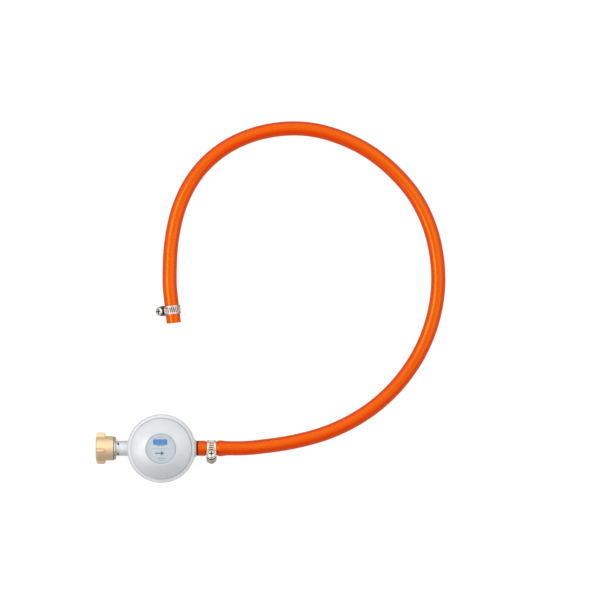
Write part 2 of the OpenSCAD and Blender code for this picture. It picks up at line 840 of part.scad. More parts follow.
module at_near() translate([near_x, 0, axis_h]) rotate([near_roll, 0, 0]) children();
module at_far() translate(far_centre) rotate([far_roll, 0, tip_heading]) children();

// The band closes round the hose, passes under the screw and runs on over itself as a slotted tail
module clamp_band(band_r, tail) {
    out_r = band_r + 2 * band_t;
    slot_step = slot_pitch / out_r * 180 / PI;
    color([0.80, 0.81, 0.82])
        difference() {
            union() {
                rotate([0, -90, 0]) difference() {
                    cylinder(h = band_w, r = band_r + band_t, center = true);
                    cylinder(h = band_w + over, r = band_r, center = true);
                }
                rotate([0, -90, 0]) rotate_extrude(angle = tail + band_lap, start = -band_lap)
                    translate([band_r + band_t - fit_gap, -band_w / 2]) square([band_t + fit_gap, band_w]);
            }
            for (a = [slot_step - band_lap : slot_step : tail - slot_step])
                rotate([-a, 0, 0]) translate([0, 0, out_r]) rotate([0, 0, slot_slant])
                    cube([slot_l, slot_w, 2 * slot_depth], center = true);
        }
}

// An arch over the worm whose two legs stand beside the band
module clamp_housing(band_r) {
    s = screw_r(band_r);
    long = housing_back + housing_front;
    color([0.76, 0.77, 0.78])
        difference() {
            union() {
                translate([0, housing_front, s]) rotate([90, 0, 0]) cylinder(h = long, r = housing_w / 2);
                translate([-housing_w / 2, -housing_back, leg_z]) cube([housing_w, long, s - leg_z]);
            }
            translate([0, housing_front + over, s]) rotate([90, 0, 0])
                cylinder(h = long + over - housing_end_t, r = worm_r + loose_gap);
            translate([0, 0, s]) rotate([90, 0, 0])
                cylinder(h = housing_back + over, r = screw_tip_r + loose_gap);
            rotate([0, 90, 0])
                cylinder(h = band_w + 2 * run_gap, r = band_r + 2 * band_t + run_gap, center = true);
            rotate([0, 90, 0]) cylinder(h = housing_w + over, r = band_r, center = true);
        }
}

// The worm's ridges run beside the band's slots; the head has a cross recess
module clamp_screw(band_r) {
    worm_back = housing_back - housing_end_t - worm_end_gap;
    worm_front = housing_front - worm_run_out;
    ridges = floor((worm_back + worm_front) / slot_pitch);
    head_y = housing_front + head_gap;
    head_r = head_d / 2;
    root_r = worm_r - worm_depth;
    color([0.78, 0.79, 0.80])
        translate([0, 0, screw_r(band_r)]) rotate([-90, 0, 0]) difference() {
            rotate_extrude() polygon(concat(
                [[0, -housing_back], [screw_tip_r, -housing_back], [screw_tip_r, -worm_back]],
                [
                    for (i = [0:ridges - 1])
                        let (y = -worm_back + i * slot_pitch)
                        each [
                            [root_r, y], [worm_r, y + 0.3 * slot_pitch], [worm_r, y + 0.5 * slot_pitch],
                            [root_r, y + 0.8 * slot_pitch],
                        ]
                ],
                [
                    [root_r, worm_front], [worm_r, worm_front], [worm_r, head_y], [head_r, head_y],
                    [head_r, head_y + head_t - head_chamfer], [head_r - head_chamfer, head_y + head_t],
                    [0, head_y + head_t],
                ]
            ));
            for (turn = [0, 90])
                rotate([0, 0, turn]) translate([0, 0, head_y + head_t])
                    cube([cross_w, cross_l, 2 * cross_depth], center = true);
        }
}

module near_clamp_band() at_near() clamp_band(near_band_r, near_tail);
module near_clamp_housing() at_near() clamp_housing(near_band_r);
module near_clamp_screw() at_near() clamp_screw(near_band_r);
module far_clamp_band() at_far() clamp_band(far_band_r, far_tail);
module far_clamp_housing() at_far() clamp_housing(far_band_r);
module far_clamp_screw() at_far() clamp_screw(far_band_r);

body();
cover();
label_disc();
adjusting_screw();
main_spring();
diaphragm_plate();
diaphragm();
diaphragm_stem();
stem_nut();
lever();
lever_pin();
valve_poppet();
valve_pad();
valve_seat();
inlet_nipple();
inlet_filter();
inlet_seal();
inlet_nut();
hose_nozzle();
gas_hose();
near_clamp_band();
near_clamp_housing();
near_clamp_screw();
far_clamp_band();
far_clamp_housing();
far_clamp_screw();
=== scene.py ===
# Propane regulator hose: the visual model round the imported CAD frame.
# The meshes are written in millimetres, in the CAD's frame, and turned into metres as they are made.
import json
import math

import bmesh
import bpy
from mathutils import Matrix, Vector


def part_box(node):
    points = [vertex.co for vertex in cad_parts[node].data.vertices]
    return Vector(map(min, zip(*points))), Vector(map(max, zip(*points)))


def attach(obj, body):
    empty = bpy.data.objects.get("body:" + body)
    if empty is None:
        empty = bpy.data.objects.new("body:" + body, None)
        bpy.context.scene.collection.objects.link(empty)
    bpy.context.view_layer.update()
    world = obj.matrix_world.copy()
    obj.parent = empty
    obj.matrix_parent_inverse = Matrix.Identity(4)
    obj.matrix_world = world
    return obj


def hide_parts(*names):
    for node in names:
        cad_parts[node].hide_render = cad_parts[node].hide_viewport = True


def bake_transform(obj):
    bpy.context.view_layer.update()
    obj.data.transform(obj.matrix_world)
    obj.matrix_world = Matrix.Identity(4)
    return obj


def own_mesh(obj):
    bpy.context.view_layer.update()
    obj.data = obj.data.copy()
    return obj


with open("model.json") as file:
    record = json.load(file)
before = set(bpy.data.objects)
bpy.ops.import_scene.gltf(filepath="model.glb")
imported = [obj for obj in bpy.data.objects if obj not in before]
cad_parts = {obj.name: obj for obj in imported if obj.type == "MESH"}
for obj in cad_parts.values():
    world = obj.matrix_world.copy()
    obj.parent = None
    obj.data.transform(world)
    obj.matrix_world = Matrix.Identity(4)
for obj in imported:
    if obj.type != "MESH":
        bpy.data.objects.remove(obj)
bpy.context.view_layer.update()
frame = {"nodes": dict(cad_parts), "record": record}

MM = 0.001
AXIS_H = 17.0  # height of the gas line above the base

# ---------------------------------------------------------------- camera
PHOTO_CENTRE = (0.15003, 0.14984)  # what the middle of the photograph shows, in metres on the floor
CAMERA_H = 6.0
SENSOR_W, LENS = 36.0, 337.6  # in millimetres: a pixel of the photograph spans 1.05 mm of the floor
camera_data = bpy.data.cameras.new("camera")
camera_data.sensor_width = SENSOR_W
camera_data.lens = LENS
camera = bpy.data.objects.new("camera", camera_data)
camera.location = (*PHOTO_CENTRE, CAMERA_H)
bpy.context.scene.collection.objects.link(camera)
bpy.context.scene.camera = camera


# ---------------------------------------------------------------- meshes
SHARP = 34  # the faces on both sides of a hard edge differ by more degrees than this
ON_AXIS = 1e-6  # a point whose radius is smaller lies on the axis
CORNER_SHARE = 0.45  # how much of each of its sides a rounded corner may take
UP = Vector((0, 0, 1))


def ramp(x, x1, x2, y1, y2):
    """From y1 to y2 between x1 and x2, with soft ends."""
    t = min(max((x - x1) / (x2 - x1), 0.0), 1.0)
    return y1 + (y2 - y1) * t * t * (3 - 2 * t)


def full_turn(steps):
    """Angles evenly round a circle."""
    return [2 * math.pi * j / steps for j in range(steps)]


def arc(x, y, r, start, end, steps):
    """Points on a circle round (x, y), from one angle to another in degrees."""
    angles = [math.radians(start + (end - start) * i / steps) for i in range(steps + 1)]
    return [(x + r * math.cos(a), y + r * math.sin(a)) for a in angles]


def hoop(centre, direction, r, sides):
    """A circle round centre, square to direction."""
    side = UP.cross(direction).normalized()
    up = direction.cross(side)
    return [tuple(centre + r * (math.cos(a) * side + math.sin(a) * up)) for a in full_turn(sides)]


def turn_by(degrees, axis):
    """A rotation about one of the axes."""
    return Matrix.Rotation(math.radians(degrees), 4, axis)


def finish_mesh(mesh, sharp):
    """Outward normals, and smooth faces with hard edges above the angle sharp."""
    bm = bmesh.new()
    bm.from_mesh(mesh)
    bmesh.ops.recalc_face_normals(bm, faces=bm.faces)
    for face in bm.faces:
        face.smooth = True
    for edge in bm.edges:
        edge.smooth = len(edge.link_faces) == 2 and edge.calc_face_angle() < math.radians(sharp)
    bm.to_mesh(mesh)
    bm.free()


def build(name, verts, faces, materials=(), faces_of_second=(), sharp=SHARP):
    """An object from points in millimetres. The faces in faces_of_second take the second material."""
    mesh = bpy.data.meshes.new(name)
    mesh.from_pydata([[c * MM for c in v] for v in verts], [], faces)
    for material in materials:
        mesh.materials.append(material)
    for i in faces_of_second:
        mesh.polygons[i].material_index = 1
    finish_mesh(mesh, sharp)
    piece = bpy.data.objects.new(name, mesh)
    bpy.context.scene.collection.objects.link(piece)
    return piece


def combine(piece, tool, operation, sharp=SHARP):
    """Applies an exact boolean to piece and deletes the tool."""
    cut = piece.modifiers.new("cut", "BOOLEAN")
    cut.operation, cut.solver, cut.object = operation, "EXACT", tool
    bpy.context.view_layer.update()
    done = piece.evaluated_get(bpy.context.evaluated_depsgraph_get())
    mesh = bpy.data.meshes.new_from_object(done)
    piece.modifiers.clear()
    piece.data = mesh
    bpy.data.objects.remove(tool)
    finish_mesh(mesh, sharp)
    return piece


def round_corners(points, closed, steps=4):
    """points are (a, b) or (a, b, radius); each corner with a radius becomes a small arc."""
    out = []
    n = len(points)
    for i, point in enumerate(points):
        here = Vector(point[:2])
        if len(point) == 2 or (not closed and i in (0, n - 1)):
            out.append(tuple(here))
            continue
        to_before = Vector(points[i - 1][:2]) - here
        to_after = Vector(points[(i + 1) % n][:2]) - here
        reach = min(point[2], CORNER_SHARE * to_before.length, CORNER_SHARE * to_after.length)
        p, q = here + to_before.normalized() * reach, here + to_after.normalized() * reach
        for k in range(steps + 1):
            t = k / steps
            out.append(tuple((1 - t) ** 2 * p + 2 * t * (1 - t) * here + t * t * q))
    return out


def along_z(r, a, angle):
    """Round the regulator's upright axis: a is z."""
    return (r * math.cos(angle), r * math.sin(angle), a)


def along_x(r, a, angle):
    """Round the gas line: a is x, and the angle runs from +Y to +Z."""
    return (a, r * math.cos(angle), AXIS_H + r * math.sin(angle))


def turned(name, profile, place, materials=(), *, steps, closed=False, sharp=SHARP):
    """A profile of (radius, position) turned round an axis: open from axis to axis, or a closed ring."""
    profile = round_corners(profile, closed)
    verts, starts = [], []
    for r, a in profile:
        starts.append(len(verts))
        if r < ON_AXIS:
            verts.append(place(0, a, 0))
        else:
            verts += [place(r, a, angle) for angle in full_turn(steps)]
    faces = []
    pairs = list(zip(range(len(profile)), range(1, len(profile))))
    if closed:
        pairs.append((len(profile) - 1, 0))
    for i, k in pairs:
        pole_i, pole_k = profile[i][0] < ON_AXIS, profile[k][0] < ON_AXIS
        if pole_i and pole_k:
            continue
        for j in range(steps):
            m = (j + 1) % steps
            if pole_i:
                faces.append((starts[i], starts[k] + j, starts[k] + m))
            elif pole_k:
                faces.append((starts[i] + j, starts[k], starts[i] + m))
            else:
                faces.append((starts[i] + j, starts[k] + j, starts[k] + m, starts[i] + m))
    return build(name, verts, faces, materials, sharp=sharp)


def ring_grid(name, rows, materials=(), second=None, sharp=SHARP):
    """A grid of points that closes both ways. second(i, j) says which faces take the second material."""
    n, m = len(rows), len(rows[0])
    verts = [p for row in rows for p in row]
    faces, marked = [], []
    for i in range(n):
        for j in range(m):
            if second and second(i, j):
                marked.append(len(faces))
            a, b = i * m, ((i + 1) % n) * m
            faces.append((a + j, b + j, b + (j + 1) % m, a + (j + 1) % m))
    return build(name, verts, faces, materials, marked, sharp)


def loft(name, loops, materials=(), sharp=SHARP, second=False):
    """A solid through closed loops, flat at both ends. second gives all of it the second material."""
    m = len(loops[0])
    verts = [p for loop in loops for p in loop]
    faces = [
        (i * m + j, i * m + (j + 1) % m, (i + 1) * m + (j + 1) % m, (i + 1) * m + j)
        for i in range(len(loops) - 1)
        for j in range(m)
    ]
    faces.append(tuple(range(m - 1, -1, -1)))
    faces.append(tuple((len(loops) - 1) * m + j for j in range(m)))
    return build(name, verts, faces, materials, range(len(faces)) if second else (), sharp)


def rectangle(half_x, half_y, z, x=0):
    """A level rectangle round (x, 0), as a loop for loft."""
    return [(x + i * half_x, j * half_y, z) for i, j in ((-1, -1), (1, -1), (1, 1), (-1, 1))]


def moved(piece, matrix):
    """Puts a mesh made in millimetres in its place."""
    shift = matrix.copy()
    shift.translation = shift.translation * MM
    piece.data.transform(shift)
    return piece


# ---------------------------------------------------------------- materials
class Nodes:
    """The node tree of a material or a world, built anew.
    Where a value is asked for, it is a number, a colour or another node's output."""

    def __init__(self, owner):
        owner.use_nodes = True
        self.tree = owner.node_tree
        self.tree.nodes.clear()

    def new(self, kind, **settings):
        node = self.tree.nodes.new(kind)
        for setting, value in settings.items():
            setattr(node, setting, value)
        return node

    def feed(self, socket, value):
        if hasattr(value, "is_output"):
            self.tree.links.new(value, socket)
        else:
            socket.default_value = value

    def feed_all(self, node, *values):
        """Feeds a node's first sockets in their order."""
        for socket, value in zip(node.inputs, values):
            self.feed(socket, value)

    def math(self, operation, *values):
        node = self.new("ShaderNodeMath", operation=operation)
        self.feed_all(node, *values)
        return node.outputs[0]

    def spread(self, value, low, high, from_low=0.3, from_high=0.7, curve="LINEAR"):
        """From low to high while value goes from from_low to from_high. Noise mostly lies between the two."""
        node = self.new("ShaderNodeMapRange", interpolation_type=curve)
        self.feed_all(node, value, from_low, from_high, low, high)
        return node.outputs[0]


class Surface(Nodes):
    """A principled material whose colour, roughness and bump come from noise in the piece's own space."""

    def __init__(self, name, metallic, roughness, **sockets):
        self.material = bpy.data.materials.new(name)
        super().__init__(self.material)
        self.shader = self.new("ShaderNodeBsdfPrincipled")
        self.feed(self.new("ShaderNodeOutputMaterial").inputs[0], self.shader.outputs[0])
        self.shader.inputs["Metallic"].default_value = metallic
        self.shader.inputs["Roughness"].default_value = roughness
        for socket, value in sockets.items():
            self.shader.inputs[socket.replace("_", " ")].default_value = value
        self.place = self.new("ShaderNodeTexCoord").outputs["Object"]

    def noise(self, size, detail=2.0, stretch=None):
        """Noise with features of about size millimetres; stretch makes them longer along an axis."""
        node = self.new("ShaderNodeTexNoise")
        node.inputs["Scale"].default_value = 1 / (size * MM)
        node.inputs["Detail"].default_value = detail
        source = self.place
        if stretch:
            mapping = self.new("ShaderNodeMapping")
            mapping.inputs["Scale"].default_value = [1 / s for s in stretch]
            self.feed(mapping.inputs["Vector"], source)
            source = mapping.outputs[0]
        self.feed(node.inputs["Vector"], source)
        return node.outputs["Fac"]

    def mix(self, share, first, second):
        """The first colour where share is 0, the second where it is 1."""
        node = self.new("ShaderNodeMix", data_type="RGBA")
        self.feed(node.inputs["Factor"], share)
        for socket, value in ((node.inputs[6], first), (node.inputs[7], second)):
            self.feed(socket, value if hasattr(value, "is_output") else (*value, 1.0))
        return node.outputs[2]

    def bump(self, height, strength, distance_mm, under=None):
        node = self.new("ShaderNodeBump")
        node.inputs["Strength"].default_value = strength
        node.inputs["Distance"].default_value = distance_mm * MM
        self.feed(node.inputs["Height"], height)
        if under is not None:
            self.feed(node.inputs["Normal"], under)
        return node.outputs[0]

    def use(self, colour, roughness, normal):
        """Feeds the shader and gives back the finished material."""
        for socket, value in (("Base Color", colour), ("Roughness", roughness), ("Normal", normal)):
            self.feed(self.shader.inputs[socket], value)
        return self.material


def metal(name, light, dark, roughness, grain_mm, depth_mm, metallic=1.0, **sockets):
    """Metal with cloudy colour, uneven gloss and a fine grain."""
    s = Surface(name, metallic, roughness, **sockets)
    cloud_per_grain = 14
    cloud = s.noise(grain_mm * cloud_per_grain, 3.0)
    grain = s.noise(grain_mm)
    colour = s.mix(s.spread(cloud, 0.0, 1.0), light, dark)
    gloss = s.math("ADD", s.spread(cloud, -0.04, 0.04), s.spread(grain, roughness - 0.03, roughness + 0.03))
    return s.use(colour, gloss, s.bump(grain, 0.35, depth_mm))


def zinc_paint(name, light, dark, fleck_colour):
    """Satin silver paint on a casting: a fine orange peel over a slightly uneven casting."""
    s = Surface(name, 0.35, 0.48, IOR=1.45)
    cloud = s.noise(9.0)
    fleck = s.noise(0.25, 1.0)
    colour = s.mix(s.spread(cloud, 0.0, 1.0), light, dark)
    colour = s.mix(s.spread(fleck, 0.0, 0.25, 0.55, 0.75), colour, fleck_colour)
    peel = s.bump(s.noise(0.9), 0.25, 0.03)
    casting = s.bump(s.noise(6.0, 1.0), 0.3, 0.12, peel)
    return s.use(colour, s.spread(cloud, 0.44, 0.52), casting)


def hose_rubber(name, colour, deep, roughness, grain_mm, depth_mm, ior=2.15):
    """Rubber whose gloss is orange too, as the photograph shows it."""
    s = Surface(name, 0.0, roughness, IOR=ior, Specular_Tint=(1.0, 0.77, 0.05, 1.0))
    cloud = s.noise(30.0)
    grain = s.noise(grain_mm, 3.0)
    tint = s.mix(s.spread(cloud, 0.0, 1.0), colour, deep)
    gloss = s.math("ADD", s.spread(grain, -0.03, 0.03), s.spread(cloud, roughness - 0.02, roughness + 0.02))
    return s.use(tint, gloss, s.bump(grain, 0.2, depth_mm))


def black_rubber():
    """Moulded rubber with a fine matt grain."""
    s = Surface("black_rubber", 0.0, 0.6, IOR=1.5)
    grain = s.noise(0.4, 3.0)
    colour = s.mix(s.spread(s.noise(4.0), 0.0, 1.0), (0.022, 0.022, 0.024), (0.05, 0.05, 0.052))
    return s.use(colour, s.spread(grain, 0.5, 0.7), s.bump(grain, 0.3, 0.03))


LABEL_INK = (0.16, 0.18, 0.21)
LABEL_GREY = (0.42, 0.46, 0.50)
LABEL_BLUE = (0.10, 0.275, 0.62)
# The label's plain print, in millimetres: (radius, half width, colour) of its rings, and (middle x, middle y,
# half length, half width, ...) of its bar, its rules and the arrow's shaft
LABEL_RINGS = [(15.0, 0.3, LABEL_GREY), (13.0, 0.13, LABEL_GREY)]
LABEL_BAR, LABEL_BAR_CORNER = (-0.8, 7.0, 7.5, 3.0), 1.4
LABEL_RULES = [
    (-0.5, 12.2, 4.4, 0.18, LABEL_GREY),
    (-0.5, 3.3, 4.0, 0.28, LABEL_INK),
    (0.2, 0.2, 9.0, 0.22, LABEL_GREY),
    (0.4, -9.7, 4.2, 0.26, LABEL_INK),
    (0.3, -11.9, 3.6, 0.2, LABEL_GREY),
]
ARROW_Y = -4.6
ARROW_SHAFT, ARROW_SHAFT_CORNER = (-2.6, ARROW_Y, 3.6, 0.55), 0.2
ARROW_POINT_X, ARROW_HEAD_L, ARROW_HEAD_SLOPE = 3.4, 3.4, 0.72
PRINT_SOFT = 0.05  # how far the print's edges are blurred to each side


def label_print():
    """Anodised disc with a plain blue bar, plain rules and a flow arrow. No letters."""
    s = Surface("label_print", 0.25, 0.4, IOR=1.5)
    split = s.new("ShaderNodeSeparateXYZ")
    s.feed(split.inputs[0], s.place)
    x, y = (s.math("MULTIPLY", split.outputs[i], 1 / MM) for i in (0, 1))

    def distance(value, middle):
        return s.math("ABSOLUTE", s.math("SUBTRACT", value, middle))

    def past(value, middle, half):
        """How far value lies beyond half to either side of middle."""
        return s.math("MAXIMUM", s.math("SUBTRACT", distance(value, middle), half), 0.0)

    def diagonal(a, b):
        return s.math("SQRT", s.math("ADD", s.math("MULTIPLY", a, a), s.math("MULTIPLY", b, b)))

    def within(off, reach):
        """1 where off is below reach, 0 above it."""
        return s.spread(off, 1.0, 0.0, reach - PRINT_SOFT, reach + PRINT_SOFT)

    def bar(middle_x, middle_y, half_x, half_y, corner):
        """1 inside a rounded bar, 0 outside."""
        return within(diagonal(past(x, middle_x, half_x - corner), past(y, middle_y, half_y - corner)), corner)

    brushed = s.noise(0.5, stretch=(14, 1, 1))
    colour = s.mix(s.spread(brushed, 0.0, 1.0), (0.64, 0.71, 0.77), (0.60, 0.67, 0.73))
    from_centre = diagonal(x, y)
    for ring_r, half_w, ink in LABEL_RINGS:
        colour = s.mix(within(distance(from_centre, ring_r), half_w), colour, ink)
    colour = s.mix(bar(*LABEL_BAR, LABEL_BAR_CORNER), colour, LABEL_BLUE)
    for middle_x, middle_y, half_x, half_y, ink in LABEL_RULES:
        colour = s.mix(bar(middle_x, middle_y, half_x, half_y, min(half_x, half_y)), colour, ink)
    # The arrow's head is where the distance from its middle line is less than a share of the way to its point
    to_point = s.math("SUBTRACT", ARROW_POINT_X, x)
    inside = s.math("SUBTRACT", s.math("MULTIPLY", to_point, ARROW_HEAD_SLOPE), distance(y, ARROW_Y))
    head = s.math("MULTIPLY", s.spread(inside, 0.0, 1.0, -PRINT_SOFT, PRINT_SOFT), within(to_point, ARROW_HEAD_L))
    arrow = s.math("MAXIMUM", bar(*ARROW_SHAFT, ARROW_SHAFT_CORNER), head)
    colour = s.mix(arrow, colour, LABEL_INK)
    return s.use(colour, s.spread(brushed, 0.34, 0.44), s.bump(brushed, 0.15, 0.01))


ZINC = zinc_paint("zinc_paint", (0.762, 0.782, 0.806), (0.724, 0.748, 0.773), (0.81, 0.84, 0.88))
# A lighter copy of the same paint for the body: painted light that brightens its stem and rim
ZINC_BODY_PAINTED_LIGHT = zinc_paint("zinc_paint_body_painted_light", (0.838, 0.860, 0.882), (0.80, 0.824, 0.848), (0.87, 0.895, 0.92))
LABEL = label_print()
# The metals and rubbers: two colours that mingle, roughness, and the grain's size and depth in millimetres
BRASS = metal(
    "cast_brass", (0.87, 0.65, 0.385), (0.81, 0.59, 0.345), 0.5, 0.5, 0.03, metallic=0.75,
    Coat_Weight=0.5, Coat_IOR=1.7, Coat_Roughness=0.35,
)
# Dark brass for the nut's fine groove: painted shade
BRASS_PAINTED_SHADE = metal("cast_brass_painted_shade", (0.32, 0.26, 0.19), (0.25, 0.20, 0.15), 0.5, 0.5, 0.03, metallic=0.6)
BRASS_INNER = metal("turned_brass", (0.80, 0.58, 0.28), (0.66, 0.45, 0.20), 0.3, 0.3, 0.01)
PLATED = metal("plated_steel", (0.80, 0.82, 0.84), (0.74, 0.76, 0.78), 0.4, 0.4, 0.01, metallic=0.6)
SPRING = metal("spring_steel", (0.42, 0.44, 0.47), (0.30, 0.31, 0.33), 0.35, 0.3, 0.01)
CLAMP = metal("clamp_steel", (0.76, 0.69, 0.62), (0.66, 0.59, 0.52), 0.26, 0.35, 0.01)
# The far clamp's copy of the steel, tinted warm as a painted reflection of the orange hose
CLAMP_PAINTED_REFLECTION = metal("clamp_steel_painted_reflection", (0.64, 0.52, 0.48), (0.54, 0.42, 0.39), 0.26, 0.35, 0.01)
# Dark steel painted as shade in the slots' floors, the housing's rib grooves and front, the punch marks, and the
# screw's recess and neck
PAINTED_SHADE_STEEL = metal(
    "painted_shade_steel", (0.085, 0.065, 0.055), (0.055, 0.045, 0.04), 0.6, 0.35, 0.02, metallic=0.3
)
SCREW = metal("screw_steel", (0.70, 0.67, 0.62), (0.60, 0.57, 0.52), 0.26, 0.3, 0.01)
RUBBER = black_rubber()
HOSE = hose_rubber("orange_rubber", (1.0, 0.010, 0.0), (0.98, 0.008, 0.0), 0.24, 0.7, 0.02)
# Near-black rubber for the hose's first rings at the regulator, painted shade of the gap there
HOSE_PAINTED_SHADE = hose_rubber(
    "orange_rubber_painted_shade", (0.10, 0.012, 0.003), (0.06, 0.007, 0.002), 0.6, 0.5, 0.05, ior=1.25
)
HOSE_CUT = hose_rubber("orange_rubber_cut", (0.72, 0.10, 0.006), (0.60, 0.08, 0.006), 0.6, 0.5, 0.08)
FINISHES = {
    "zinc_casting": ZINC, "label": LABEL, "brass": BRASS, "brass_inner": BRASS_INNER, "plated_steel": PLATED,
    "spring_steel": SPRING, "clamp_steel": CLAMP, "screw_steel": SCREW, "black_rubber": RUBBER,
    "hose_rubber": HOSE,
}

for subpart in frame["record"]["subparts"]:
    mesh = frame["nodes"][subpart["node"]].data
    mesh.materials.clear()
    mesh.materials.append(FINISHES[subpart["material_slot"]])


def stands_for(piece, body, finish, *nodes):
    """The piece replaces CAD nodes and rides on their body. finish is not used."""
    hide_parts(*nodes)
    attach(piece, body)
    return piece


# ---------------------------------------------------------------- hose
HOSE_R, BORE_R, CUFF_BORE_R = 7.5, 4.5, 5.55
HOSE_X, CUFF_X, NOZZLE_TIP_X = 36.6, 38.1, 64.35  # the nozzle's stop, the hose's full start, the nozzle's tip
TIP = Vector((12.8, 131, 15.3))  # the middle of the cut end
TIP_HEADING = -83.3  # degrees from +X
TIP_DIR = Vector((math.cos(math.radians(TIP_HEADING)), math.sin(math.radians(TIP_HEADING)), 0))
TIP_L = 30.0  # the last piece of hose is straight
TIP_EDGE_R = 0.7
ROUTE = [
    (70.05, 0, 17), (84, 0, 16.5), (108, 2, 12.4), (141.4, 7.3, 8.2), (173.4, 16.3, 7.5),
    (203.9, 30.8, 7.5), (230.9, 50.3, 7.5), (253.9, 74.8, 7.5), (271.9, 103.3, 7.5), (283.9, 134.8, 7.5),
    (289.4, 167.8, 7.5), (287.9, 201.3, 7.5), (279.9, 233.8, 7.5), (264.9, 263.8, 7.5), (243.4, 289.3, 7.5),
    (217.4, 310.3, 7.5), (187.4, 325.3, 7.5), (154.9, 333.8, 7.5), (121.4, 333.8, 7.5), (88.9, 325.8, 7.5),
    (59.4, 309.8, 7.5), (35.9, 286.3, 7.5), (19.9, 256.8, 7.5), (11.4, 224.3, 8.4), (8.5, 190.5, 12.6),
]
HOSE_SIDES = 40
HOSE_STEP = 2.4  # the distance between two rings of the tube, about


def smooth_line(points, first, last, step):
    """A smooth curve through the points, cut into pieces of about step. first and last are its end directions."""
    points = [Vector(p) for p in points]
    gaps = [(b - a).length for a, b in zip(points, points[1:])]
    slopes = [first]
    for i in range(1, len(points) - 1):
        before, after = gaps[i - 1], gaps[i]
        slopes.append(
            ((points[i + 1] - points[i]) / after * before + (points[i] - points[i - 1]) / before * after)
            / (before + after)
        )
    slopes.append(last)
    line = []
    for i, gap in enumerate(gaps):
        n = max(2, round(gap / step))
        for k in range(n):
            t = k / n
            line.append(
                (2 * t**3 - 3 * t**2 + 1) * points[i] + (t**3 - 2 * t**2 + t) * gap * slopes[i]
                + (3 * t**2 - 2 * t**3) * points[i + 1] + (t**3 - t**2) * gap * slopes[i + 1]
            )
    line.append(points[-1])
    return line


def cuff_radius(x):
    """The hose swells over the nozzle, is squeezed by the clamp and bulges behind it."""
    if x < 52:
        return ramp(x, CUFF_X - 0.1, CUFF_X + 0.4, 7.7, 8.0) - ramp(x, 44.9, 47.0, 0, 0.85)
    if x < 60.6:
        return ramp(x, 57.5, 60.4, 7.15, 8.35)
    return ramp(x, 61.0, 69.7, 8.35, HOSE_R)


def cuff_bore(x):
    """The bore is stretched over the nozzle and closes behind its tip."""
    return ramp(x, NOZZLE_TIP_X + 0.6, NOZZLE_TIP_X + 4, CUFF_BORE_R, BORE_R)


def make_hose():
    """A tube with its bore, from the regulator to the cut end. Gives back the tube and its middle line."""
    forward = Vector((1, 0, 0))
    stations = []  # centre, direction, outer radius, inner radius
    xs = [HOSE_X, CUFF_X - 0.1, CUFF_X, CUFF_X + 0.1, CUFF_X + 0.25, CUFF_X + 0.5, 41, 43, 44.6]
    xs += [45 + 0.25 * i for i in range(9)] + [48, 50, 52, 54, 56, 57.2] + [57.6 + 0.3 * i for i in range(11)]
    xs += [61.4 + 0.6 * i for i in range(14)]
    for x in xs:
        stations.append((Vector((x, 0, AXIS_H)), forward, cuff_radius(x), cuff_bore(x)))
    free = smooth_line(ROUTE + [tuple(TIP - TIP_DIR * TIP_L)], forward, TIP_DIR, HOSE_STEP)
    for point in free:
        point.z = max(point.z, HOSE_R)
    for i, point in enumerate(free):
        ahead = free[min(i + 1, len(free) - 1)] - free[max(i - 1, 0)]
        direction = forward if i == 0 else TIP_DIR if i == len(free) - 1 else ahead.normalized()
        stations.append((point, direction, HOSE_R, BORE_R))
    for back in [TIP_L - 2.5 * i for i in range(1, 12)] + [1.2, TIP_EDGE_R]:
        stations.append((TIP - TIP_DIR * back, TIP_DIR, HOSE_R, BORE_R))

    def at_tip(back, r):
        return hoop(TIP - TIP_DIR * back, TIP_DIR, r, HOSE_SIDES)

    rows = [hoop(point, direction, outer_r, HOSE_SIDES) for point, direction, outer_r, _ in stations]
    for degrees in (25, 50, 75, 90):  # the cut end's rounded edge
        a = math.radians(degrees)
        rows.append(at_tip(TIP_EDGE_R * (1 - math.sin(a)), HOSE_R - TIP_EDGE_R * (1 - math.cos(a))))
    face_from = len(rows) - 1
    rows += [at_tip(back, r) for back, r in ((0, 6.3), (0, 5.6), (0, 4.85), (0.12, 4.6))]
    face_to = len(rows)
    rows.append(at_tip(0.4, BORE_R))
    inner = [s for i, s in enumerate(reversed(stations)) if i % 2 == 0 or s[0].y == 0]
    rows += [hoop(point, direction, inner_r, HOSE_SIDES) for point, direction, _, inner_r in inner]
    hose = ring_grid(
        "rubber_hose", rows, [HOSE, HOSE_CUT, HOSE_PAINTED_SHADE],
        lambda i, j: face_from <= i < face_to or i == len(rows) - 1, sharp=50,
    )
    for i in range(2 * HOSE_SIDES):  # painted shade: the edge next to the regulator is dark for the shaded gap
        hose.data.polygons[i].material_index = 2
    return hose, [station[0] for station in stations] + [TIP]


hose, hose_line = make_hose()
stands_for(hose, "regulator", "hose_rubber", "gas_hose")


# ---------------------------------------------------------------- clamps
# Angles round a band are in degrees from the worm
BAND_W, BAND_T, BAND_EDGE_R = 9.0, 0.55, 0.12
BAND_LAP = 45  # how far the two layers overlap in front of the worm
SLOT_PITCH, SLOT_L, SLOT_W, SLOT_DEPTH, SLOT_CORNER = 2.2, 5.6, 1.2, 0.42, 0.45
SLOT_SLANT = math.radians(5)
SLOT_SHADE_PAINTED_FROM = 0.55  # how deep a face lies, as a share of the slot's depth, where its painted shade begins
HOUSING_W, HOUSING_BACK, HOUSING_FRONT, HOUSING_END, LEG_Z = 10.4, 5.6, 4.4, 1.2, 5.2
WORM_R, WORM_ROOT_R, WORM_GAP = 3.1, 2.3, 0.1
WORM_FROM, WORM_TO, WORM_RINGS = -4.2, 3.6, 45
HEAD_R, HEAD_Y, HEAD_T = 4.4, 4.55, 2.7
SCREW_SIDES = 48


def band_outside(band_r):
    """The outer radius where the band's two layers lie on one another."""
    return band_r + 2 * BAND_T


def worm_height(band_r):
    """From the band's middle to the screw's axis."""
    return band_outside(band_r) + WORM_GAP + WORM_R


